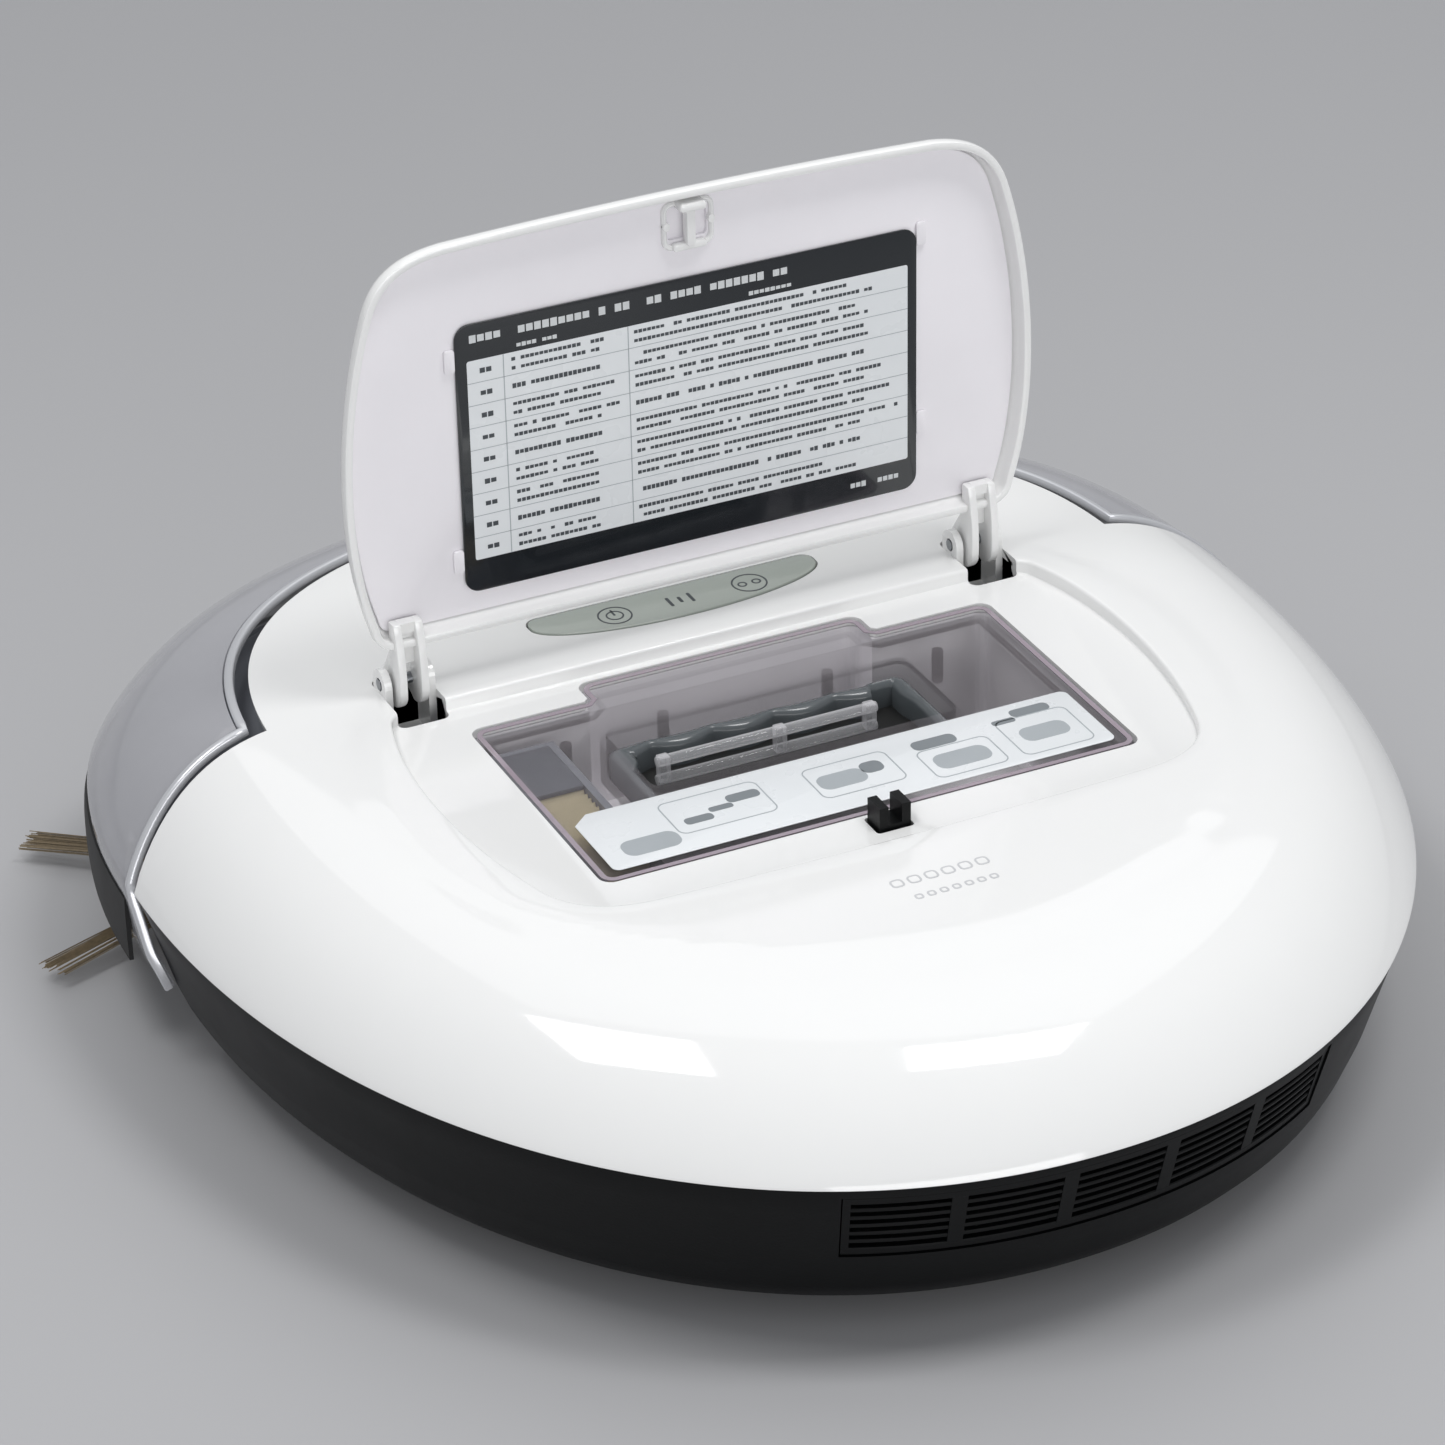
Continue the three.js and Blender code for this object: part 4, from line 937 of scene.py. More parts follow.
class VACUUM_OT_front_cover(PieceOperator, Operator):
    """Model the grey cover seen through the bumper"""
    bl_idname = "vacuum.front_cover"
    bl_label = "Front cover"

    def execute(self, context):
        body, bumper = of("body"), of("bumper")
        drop = bumper.setback
        rows = []
        for inset in (0.0, 0.8, 2.2, 4.4, 7.5, 11.5, 16.5, 22.5, 29.0, 33.0, 36.3):
            inset *= MM
            y = bumper.edge_y
            for _ in range(4):
                y = edge_y(dome_height(inset, y) - drop) + 2 * MM
            turn = turn_at(y, inset + drop)
            row = []
            for t in between(math.pi - turn, turn, body.steps):
                x, y = outline(t, inset + drop)
                row.append(Vector((x, y, max(dome_height(inset, y) - drop, body.seam_z + 0.3 * MM))))
            rows.append(row)
        skin = loft("front_skin", rows, closed=False)
        thicken(skin, 2 * MM)
        finish(skin, "chassis", MATERIALS["grey"], ["front_cover"], 40)
        return {"FINISHED"}


def trim_path():
    """Along the bumper's edge: up the left side, along the slanted edge, over the nose and down again."""
    body, bumper = of("body"), of("bumper")
    forward = bumper.gap + bumper.trim / 2
    low = 22.6 * MM - body.seam_z
    top = bumper.band - bumper.gap - bumper.trim / 2
    left = [(math.pi - bumper_turn(r, forward), r) for r in between(low, -0.4 * MM, 16)]
    left += [(math.pi - bumper_turn(top * s ** 1.6, forward), top * s ** 1.6) for s in between(0, 1, 22)]
    turn = bumper_turn(top, forward)
    nose = [(t, top) for t in between(math.pi - turn, turn, body.steps)][1:-1]
    right = [(math.pi - turn, rise) for turn, rise in reversed(left)]
    return left + nose + right


class VACUUM_OT_trim(PieceOperator, Operator):
    """Model the bright strip along the bumper's edge"""
    bl_idname = "vacuum.trim"
    bl_label = "Bumper trim"

    def execute(self, context):
        bumper = of("bumper")
        path = trim_path()
        centre = [bumper_point(turn, rise) for turn, rise in path]
        small = 0.2 * MM
        rings = []
        for i, (turn, rise) in enumerate(path):
            along = (centre[min(i + 1, len(path) - 1)] - centre[max(i - 1, 0)]).normalized()
            round_it = bumper_point(turn + 0.01, rise) - centre[i]
            up_it = bumper_point(turn, rise + small) - bumper_point(turn, rise - small if abs(rise) > small else rise)
            out = up_it.cross(round_it).normalized()
            if out.dot(Vector((centre[i].x, centre[i].y, 0.05))) < 0:
                out.negate()
            across = along.cross(out).normalized()
            half, deep, proud = bumper.trim / 2 * (1 + 0.12 * ease(-rise / MM, 0, 5)), 1.6 * MM, 0.5 * MM
            section = ((-half, -deep), (-half, proud * 0.1), (-half * 0.8, proud * 0.7), (-half * 0.4, proud),
                       (half * 0.4, proud), (half * 0.8, proud * 0.7), (half, proud * 0.1), (half, -deep))
            rings.append([centre[i] + across * a + out * b for a, b in section])
        strip = loft("edge_trim", rings, start="flat", end="flat")
        finish(strip, "bumper", MATERIALS["trim"], ["bumper_trim"], 50)
        return {"FINISHED"}


class VACUUM_OT_strip(PieceOperator, Operator):
    """Model the rubber strip round the bumper"""
    bl_idname = "vacuum.strip"
    bl_label = "Rubber strip"

    def execute(self, context):
        body, bumper = of("body"), of("bumper")
        turn = turn_at(edge_y(34 * MM) + bumper.gap + 11 * MM)
        low, high = bumper.strip_low, bumper.strip_high
        rings = []
        for t in between(math.pi - turn, turn, body.steps):
            y0 = outline(t)[1]
            share = max(0.0, (y0 - body.widest_y - 12 * MM) / (body.front_length - 12 * MM))
            reach = bumper.strip_reach * min(1.0, 1.6 * share)
            ring = []
            for rise, out in ((0.0, 0.35), (0.04, 0.6), (0.14, 0.82), (0.3, 0.96), (0.5, 1.0), (0.7, 0.96),
                              (0.86, 0.82), (0.96, 0.6), (1.0, 0.35)):
                x, y = outline(t, -0.2 * MM * out)
                ring.append(Vector((x, y + reach * out, low + (high - low) * rise)))
            inner = outline(t, 1.0 * MM)
            ring.append(Vector((*inner, high)))
            ring.append(Vector((*inner, low)))
            rings.append(ring)
        strip = loft("rubber_strip", rings, start="flat", end="flat")
        finish(strip, "bumper", MATERIALS["rubber"], ["bumper_strip"], 40)
        return {"FINISHED"}


def opened(points):
    """Lid points written for the closed lid, brought to the open position that it stands in."""
    hinge = next(j for j in frame["joints"] if j["name"] == "lid_hinge")
    y0, z0 = hinge["pos_m"][1:]
    return [Vector((p.x, y0 + (p.z - z0), z0 - (p.y - y0))) for p in points]


def lid_plate(name, points, z0, z1, bevel=0.0):
    rings = [opened(at_height(points, z)) for z in (z0, z1)]
    piece = loft(name, rings, start="flat", end="flat")
    return soften(piece, bevel) if bevel else piece


def shrunk(points, share):
    middle = mm(0, -6)
    return [middle + (p - middle) * share for p in points]


class VACUUM_OT_lid(PieceOperator, Operator):
    """Model the lid: its glossy shell, satin lining, latch housing and clips"""
    bl_idname = "vacuum.lid"
    bl_label = "Lid"

    def execute(self, context):
        lid, edge = of("lid"), lid_outline()
        top = lid.crown_z
        rings = []
        for step, z in ((4.2, lid.panel_z + 1.8 * MM), (2.9, lid.panel_z + 0.4 * MM), (2.2, top - 7.4 * MM),
                        (2.2, lid.rim_z + 0.7 * MM), (2.0, lid.rim_z + 0.2 * MM), (1.5, lid.rim_z),
                        (0.7, lid.rim_z), (0.2, lid.rim_z + 0.2 * MM), (0.0, lid.rim_z + 0.7 * MM),
                        (0.0, top - 7.4 * MM), (0.35, top - 6.1 * MM), (1.4, top - 4.7 * MM), (3.0, top - 3.6 * MM),
                        (5.0, top - 2.9 * MM), (7.5, top - 2.3 * MM)):
            rings.append(opened(at_height(moved_in(edge, step * MM), z)))
        last = moved_in(edge, 7.5 * MM)
        for share, drop in ((0.95, 1.9), (0.88, 1.5), (0.78, 1.1), (0.62, 0.65), (0.42, 0.3), (0.2, 0.08), (0.05, 0.0)):
            rings.append(opened(at_height(shrunk(last, share), top - drop * MM)))
        shell = loft("lid_shell", rings, end="point")
        back = moved_in(edge, 4.2 * MM)
        floor = loft("lid_back", [opened(at_height(back, lid.panel_z + h * MM)) for h in (1.8, 2.3)],
                     start="flat", end="flat")
        finish(join("lid_shell", [shell, floor]), "lid", MATERIALS["cover"], ["lid_outer"], 40)
        lining = lid_plate("lid_lining", moved_in(edge, 3.4 * MM), lid.panel_z, lid.panel_z + 1.5 * MM, 0.35 * MM)
        opening = lid_plate("opening", rounded(-5.4, 5.4, -54.6, -45.4, 1), 60 * MM, lid.panel_z + 1.1 * MM)
        cut_away(lining, opening)
        finish(lining, "lid", MATERIALS["inner"], ["lid_panel"], 40)
        parts = [band_on_lid("frame", rounded(-7, 7, -55.8, -42.9, 2.6), rounded(-5.8, 5.8, -54.6, -44.3, 1.6),
                             80.3 * MM, lid.panel_z)]
        for x0, x1, y0, y1, low, bevel in ((-3.6, 3.6, -56.2, -54.0, 76.8, 0.7), (-1.2, 1.2, -54.6, -44.0, 78.6, 0.4),
                                           (-4.6, 4.6, -44.8, -42.8, 79.4, 0.5), (-7.0, -5.2, -50.8, -48.6, 79.9, 0.4),
                                           (5.2, 7.0, -50.8, -48.6, 79.9, 0.4)):
            parts.append(lid_plate("rib", rounded(x0, x1, y0, y1, 0.9), low * MM, lid.panel_z, bevel * MM))
        finish(join("latch_housing", parts), "lid", MATERIALS["cover"], ["lid_latch_housing"])
        clips = []
        for x, y in ((-64.6, -26), (64.6, -33), (64.6, 20), (-64.6, 29)):
            clips.append(lid_plate("clip", rounded(x - 1.4, x + 1.4, y - 3.2, y + 3.2, 0.8), lid.panel_z - 0.9 * MM,
                                   lid.panel_z, 0.3 * MM))
        finish(join("label_clips", clips), "lid", MATERIALS["inner"])
        return {"FINISHED"}


def turn_open(piece):
    for vert in piece.data.vertices:
        vert.co = opened([vert.co])[0]
    return piece


def band_on_lid(name, outer, inner, z0, z1):
    """A flat frame on the lid's lining."""
    rings = [opened(at_height(points, z)) for points, z in
             ((outer, z1), (outer, z0 + 0.4 * MM), (moved_in(outer, 0.4 * MM), z0), (moved_in(inner, -0.4 * MM), z0),
              (inner, z0 + 0.4 * MM), (inner, z1))]
    return loft(name, rings, wrap=True)


def printed_rows(name, x0, x1, y0, y1, z, columns, rows, seed, height=0.42, fill=0.84, ragged=0.35):
    """Rows of short printed marks between two corners of the closed lid's label: no lettering."""
    select_nothing()
    bpy.ops.mesh.primitive_grid_add(x_subdivisions=columns, y_subdivisions=rows, size=1, location=(0, 0, 0))
    piece = bpy.context.object
    piece.name = piece.data.name = name
    bpy.ops.object.mode_set(mode="EDIT")
    shape = bmesh.from_edit_mesh(piece.data)
    shape.faces.ensure_lookup_table()
    draw = Draw(seed)
    ends = [1.0 - ragged * draw.next() for _ in range(rows)]
    for face in shape.faces:
        middle = face.calc_center_median()
        row = min(rows - 1, int((middle.y + 0.5) * rows))
        face.select = middle.x + 0.5 > ends[row] or draw.next() > fill
    bmesh.update_edit_mesh(piece.data)
    bpy.ops.mesh.delete(type="FACE")
    bpy.ops.mesh.select_all(action="SELECT")
    bpy.ops.mesh.edge_split(type="EDGE")
    shape = bmesh.from_edit_mesh(piece.data)
    for face in shape.faces:
        middle = face.calc_center_median()
        tall = height * (0.85 + 0.3 * draw.next())
        for vert in face.verts:
            vert.co.x = middle.x + (vert.co.x - middle.x) * 0.82
            vert.co.y = middle.y + (vert.co.y - middle.y) * tall
    for vert in shape.verts:
        vert.co = mm(x0 + (vert.co.x + 0.5) * (x1 - x0), y0 + (0.5 - vert.co.y) * (y1 - y0), z / MM)
    bmesh.update_edit_mesh(piece.data)
    bpy.ops.object.mode_set(mode="OBJECT")
    turn_open(piece)
    modify(piece, "SOLIDIFY", thickness=0.04 * MM, offset=0)
    return piece


class Draw:
    """A seeded run of numbers from 0 to 1, the same every time."""

    def __init__(self, seed):
        self.state = seed * 2654435761 % 4294967296

    def next(self):
        self.state = (self.state * 1664525 + 1013904223) % 4294967296
        return self.state / 4294967296


class VACUUM_OT_label(PieceOperator, Operator):
    """Model the lid's printed label: a dark frame round a pale table of generic marks"""
    bl_idname = "vacuum.label"
    bl_label = "Lid label"

    def execute(self, context):
        lid = of("lid")
        face = lid.panel_z - 0.8 * MM
        board = lid_plate("label_board", rounded(-63.2, 63.2, -35, 38.2, 4, 8), face, lid.panel_z - 0.3 * MM, 0.12 * MM)
        finish(board, "lid", MATERIALS["label_black"], ["lid_label"])
        table_x, table_y = (-60.2, 60.6), (-25.2, 29.4)
        table = lid_plate("label_table", rounded(*table_x, *table_y, 0.6), face - 0.05 * MM, face + 0.1 * MM)
        finish(table, "lid", MATERIALS["paper"])
        ink_z = face - 0.08 * MM
        columns = (table_x[0], -50.5, -17.0, table_x[1])
        rows = between(*table_y, 10)
        lines = [lid_plate("line", rounded(x - 0.12, x + 0.12, *table_y, 0.1, 2), ink_z, face) for x in columns[1:3]]
        lines += [lid_plate("line", rounded(*table_x, y - 0.09, y + 0.09, 0.08, 2), ink_z, face) for y in rows[1:-1]]
        finish(join("label_lines", lines), "lid", MATERIALS["rule"])
        marks = []
        for i, (start, end) in enumerate(zip(rows, rows[1:])):
            high = end - start
            middle = (start + end) / 2
            marks.append(printed_rows("code", -57.0, -53.6, middle - 1.0, middle + 1.0, ink_z, 2, 1, 3 + i, 0.6, 1.1, 0))
            two = i % 3 != 1
            half = 0.40 * high if two else 0.22 * high
            marks.append(printed_rows("cause", -48.5, -18.5, middle - half, middle + half, ink_z, 24, 2 if two else 1,
                                      20 + i, 0.36 if two else 0.42, 0.86, 0.3))
            half = 0.40 * high if i % 4 != 3 else 0.22 * high
            marks.append(printed_rows("remedy", -15.5, 59.0, middle - half, middle + half, ink_z, 62,
                                      2 if i % 4 != 3 else 1, 50 + i, 0.36 if i % 4 != 3 else 0.42, 0.86, 0.35))
        finish(join("label_marks", marks), "lid", MATERIALS["ink"])
        pale = [printed_rows("title", -59.5, 27, -32.4, -29.6, ink_z, 40, 1, 7, 0.7, 0.88, 0),
                printed_rows("heading", -47, -36, -27.6, -26.2, ink_z, 8, 1, 11, 0.7, 0.9, 0),
                printed_rows("heading", 16, 28, -27.6, -26.2, ink_z, 8, 1, 12, 0.7, 0.9, 0),
                printed_rows("footer", 44, 58, 32.6, 34.6, ink_z, 9, 1, 13, 0.7, 0.75, 0)]
        finish(join("label_pale_marks", pale), "lid", MATERIALS["pale_ink"])
        return {"FINISHED"}


class VACUUM_OT_hinges(PieceOperator, Operator):
    """Model the lid's twin-ribbed hinge arms"""
    bl_idname = "vacuum.hinges"
    bl_label = "Hinge arms"

    def execute(self, context):
        centre_y, centre_z = 58.5, 82
        foot = [(centre_y + 5 * math.cos(a), centre_z + 5 * math.sin(a)) for a in between(-math.pi / 2, 0.4, 10)]
        heel = curve([(51.4, 80), (53, 75.8), (centre_y, 75.8)], 10)
        neck = curve([(53.8, 100), (50.6, 90), (51.4, 80)], 12)
        shape = [tuple(p) for p in neck] + [tuple(p) for p in heel] + foot[1:] + [(57.4, 92), (57.4, 100)]
        for side, name in ((LEFT, "left"), (RIGHT, "right")):
            x = side * 80.5
            ribs = []
            for a in (-4.0, 1.8):
                low, high = sorted(((x + a) * MM, (x + a + 2.2) * MM))
                ribs.append(side_plate("rib", shape, low, high, 0.45 * MM))
            ribs.append(side_plate("web", [(55.6, 88), (57.3, 88), (57.3, 99.8), (55.6, 99.8)], (x - 2.2) * MM,
                                   (x + 2.2) * MM))
            ribs.append(side_plate("bridge", [(54.2, 97.2), (57.2, 97.2), (57.2, 99.9), (54.2, 99.9)],
                                   (x - 2.2) * MM, (x + 2.2) * MM))
            arm = join(f"hinge_arm_{name}", ribs)
            finish(arm, "lid", MATERIALS["cover"], [f"lid_arm_{name}"], 40)
        return {"FINISHED"}


HANDLE_WELL = (-43, 41, -9, 22)


class VACUUM_OT_bin(PieceOperator, Operator):
    """Model the clear dust bin: tub, cover with its handle well, gasket, handle, sticker and filter"""
    bl_idname = "vacuum.bin"
    bl_label = "Dust bin"

    def execute(self, context):
        self.tub()
        self.cover()
        self.gasket()
        self.handle()
        self.filter()
        return {"FINISHED"}

    def tub(self):
        low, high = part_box("bin_tub")
        rim = rounded(-72, 72, -44, 36, 3.5, 8)
        rings = [(3.5, low.z), (1.0, low.z + 1.2 * MM), (0.2, low.z + 4 * MM), (0.0, high.z - 3 * MM),
                 (0.0, high.z)]
        tub = loft("bin_body", [at_height(moved_in(rim, step * MM), z) for step, z in rings], start="flat")
        thicken(tub, 1.8 * MM)
        soften(tub, 0.3 * MM, 2, 60)
        finish(tub, "bin", MATERIALS["lilac"], ["bin_tub"])

    def cover(self):
        low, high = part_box("bin_cover")
        edge = bin_outline(0)
        x0, x1, y0, y1 = HANDLE_WELL
        top, under = high.z, 73.5 * MM
        cover = plate("bin_lid", edge, under, top, 0.45 * MM, 3)
        cut_away(cover, plate("well_hole", rounded(x0, x1, y0, y1, 3), low.z - MM, 90 * MM))
        well = rounded(x0, x1, y0, y1, 3)
        outside = moved_in(well, -1.6 * MM)
        floor = low.z + 1.6 * MM
        cup = loft("well_cup", [at_height(outside, under), at_height(outside, low.z + 1.0 * MM),
                                at_height(moved_in(outside, 1.0 * MM), low.z)], end="flat")
        inside = loft("well_inside", [at_height(well, top - 0.3 * MM), at_height(well, floor + 1.0 * MM),
                                      at_height(moved_in(well, 1.0 * MM), floor)], end="flat")
        inside.data.flip_normals()
        step = band("tab_step", moved_in(edge, 2.4 * MM), moved_in(edge, 3.6 * MM), under - 0.9 * MM, under)
        posts = [rod("snap", mm(x, y, 64), mm(x, y, 73.4), 1.5 * MM, 0.3 * MM, 20)
                 for x, y in ((-24, 27), (22, 27), (-52, 24), (52, 24))]
        finish(join("bin_cover_clear", [cover, cup, inside, step, *posts]), "bin_cover", MATERIALS["lilac"],
               ["bin_cover"])
        # painted rim line: an opaque darker band laid over the clear cover's edge, standing in for the reflections and
        # edge-on shade of clear plastic
        painted_rim_line = band("bin_painted_rim_line", moved_in(edge, 0.15 * MM), moved_in(edge, 1.5 * MM), top - 0.05 * MM,
                          top + 0.18 * MM)
        finish(painted_rim_line, "bin_cover", MATERIALS["lilac_painted_rim_line"])
        self.sticker(top)

    def sticker(self, z):
        points = rounded(-68, 68, -40.5, -13.5, 2)
        points = [p for p in points if not (p.x < -0.064 and p.y > -0.0165 + BIN_Y)]
        corner = [mm(-63.5, -13.5), mm(-68, -17.5)]
        index = next(i for i, p in enumerate(points) if p.x < -0.0639 and p.y < -0.0165 + BIN_Y)
        points[index:index] = corner
        face = plate("sticker", points, z + 0.25 * MM, z + 0.5 * MM, 0.1 * MM)
        finish(face, "bin_cover", MATERIALS["paper"], ["bin_sticker"])
        top = z + 0.5 * MM
        dark, light = [], []
        for x0, x1, y0, y1 in ((-47, -20.5, -33, -17.5), (-9, 14, -34, -19), (20, 40, -38, -24), (44, 64, -38, -20)):
            outer = rounded(x0, x1, y0, y1, 2.4)
            light.append(band("frame", outer, moved_in(outer, 0.35 * MM), top, top + 0.05 * MM))
        for x, y, a, b in ((-55, -33, 7.5, 3.6), (-40, -28, 3.8, 1.5), (-33, -25.5, 3.2, 1.1), (-26, -23, 4.4, 1.8),
                           (-1, -27, 6.4, 3.4), (8, -25, 3.0, 2.6), (27, -21.5, 6.0, 2.2), (47, -20.5, 3.2, 1.1),
                           (55.5, -18.2, 5.4, 1.8), (54, -29, 6.5, 3.4), (30, -31, 7.5, 3.6)):
            shape = rounded(x - a, x + a, y - b, y + b, min(a, b) * 0.8)
            (dark if a * b < 14 else light).append(plate("mark", shape, top, top + 0.05 * MM))
        finish(join("sticker_marks", dark), "bin_cover", MATERIALS["rule_dark"])
        finish(join("sticker_shapes", light), "bin_cover", MATERIALS["rule"])

    def gasket(self):
        x0, x1, y0, y1 = HANDLE_WELL
        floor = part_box("bin_cover")[0].z + 1.6 * MM
        outer = rounded(x0 + 0.4, x1 - 0.4, y0 + 0.4, y1 - 0.4, 3, 10)
        outer = even(outer, 240)
        inner = []
        for point in outer:
            x, y = point.x / MM, (point.y - BIN_Y) / MM
            front = ease(y, 8, 15)
            lobes = 2.4 * abs(math.sin(math.pi * (x - 3) / 17.0)) if x < 30 else 0.0
            depth = 2.2 + front * (0.6 + lobes)
            sx = max(x0 + 0.4 + depth * 1.25, min(x1 - 0.4 - depth * 1.6, x))
            sy = max(y0 + 0.4 + 1.4, min(y1 - 0.4 - depth, y))
            inner.append(mm(sx, sy))
        rings = [at_height(outer, floor + 0.2 * MM), at_height(outer, floor + 6.4 * MM)]
        for share, rise in ((0.25, 7.4), (0.55, 7.8), (0.85, 7.2), (1.0, 6.0), (1.0, 0.2)):
            rings.append([Vector((a.x + (b.x - a.x) * share, a.y + (b.y - a.y) * share, floor + rise * MM))
                          for a, b in zip(outer, inner)])
        seal = loft("well_gasket", rings, wrap=True)
        finish(seal, "bin_cover", MATERIALS["gasket"], angle=60)
        mat = plate("well_floor", moved_in(outer, 1.0 * MM), floor + 0.05 * MM, floor + 0.6 * MM, 0.1 * MM)
        finish(mat, "bin_cover", MATERIALS["rubber"])
        ripples = []
        for k, y in enumerate((-5.6, -2.2)):
            rows = []
            for x in between(-37, 30, 40):
                lift = 0.7 + 0.5 * math.sin(x / 5 + k * 2)
                rows.append([mm(x, y + dy, floor / MM + 0.6 + h) for dy, h in
                             ((-1.3, 0), (-0.9, lift), (0, lift + 0.5), (0.9, lift), (1.3, 0))])
            ripples.append(loft("ripple", rows, start="flat", end="flat"))
        finish(join("well_ripples", ripples), "bin_cover", MATERIALS["gasket"], angle=60)

    def handle(self):
        bars = [rod("bar", mm(-35.5, 6.5, z), mm(25.5, 6.5, z), 1.45 * MM, 0.5 * MM) for z in (72.6, 67.4)]
        for x in (-33.5, -1.5, 23.5):
            bars.append(block("post", mm(x - 1.5, 5.0, 66.8), mm(x + 1.5, 8.0, 74.0), 0.4 * MM))
        finish(join("clear_handle", bars), "bin_handle", MATERIALS["clear"], ["bin_handle"])

    def filter(self):
        low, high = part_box("filter")
        rows = []
        pleats = 30
        for i in range(pleats * 2 + 1):
            y = low.y + (high.y - low.y) * i / (pleats * 2)
            crest = high.z if i % 2 else high.z - 2.2 * MM
            rows.append([Vector((low.x, y, low.z)), Vector((low.x, y, crest)), Vector((high.x, y, crest)),
                         Vector((high.x, y, low.z))])
        pleated = loft("pleated_filter", rows, start="flat", end="flat")
        finish(pleated, "bin", MATERIALS["filter"], ["filter"], 20)
        cap = block("filter_cap", Vector((low.x, mm(0, 8).y, high.z + 0.1 * MM)),
                    Vector((high.x, high.y, high.z + 1.6 * MM)), 0.4 * MM)
        finish(cap, "bin", MATERIALS["grey_dark"])


def even(points, count):
    """The same outline with evenly spaced points."""
    closed = points + points[:1]
    lengths = [(b - a).length for a, b in zip(closed, closed[1:])]
    total, found, k, run = sum(lengths), [], 0, 0.0
    for i in range(count):
        target = total * i / count
        while run + lengths[k] < target:
            run += lengths[k]
            k += 1
        found.append(closed[k].lerp(closed[k + 1], (target - run) / lengths[k] if lengths[k] else 0))
    return found


class VACUUM_OT_wheels(PieceOperator, Operator):
    """Model the tyres with their tread"""
    bl_idname = "vacuum.wheels"
    bl_label = "Tyres"

    def execute(self, context):
        for side in ("left", "right"):
            low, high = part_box(f"tyre_{side}")
            middle, radius = (low + high) / 2, (high.z - low.z) / 2
            half = (high.x - low.x) / 2
            rings, steps = [], 144
            for i in range(steps):
                angle = 2 * math.pi * (i + 0.5) / steps
                groove = 1.6 * MM if i % 4 == 0 else 0.0
                section = ((-half, 6.0 * MM), (-half, 2.4 * MM), (-half + 0.6 * MM, 1.0 * MM + groove * 0.7),
                           (-half + 2.4 * MM, groove), (-0.8 * MM, groove), (-0.5 * MM, 1.4 * MM), (0.5 * MM, 1.4 * MM),
                           (0.8 * MM, groove), (half - 2.4 * MM, groove), (half - 0.6 * MM, 1.0 * MM + groove * 0.7),
                           (half, 2.4 * MM), (half, 6.0 * MM))
                rings.append([middle + Vector((x, (radius - d) * math.cos(angle), (radius - d) * math.sin(angle)))
                              for x, d in section])
            tyre = loft(f"tread_{side}", rings, wrap=True)
            finish(tyre, f"wheel_{side}", MATERIALS["rubber"], [f"tyre_{side}"], 30)
        return {"FINISHED"}


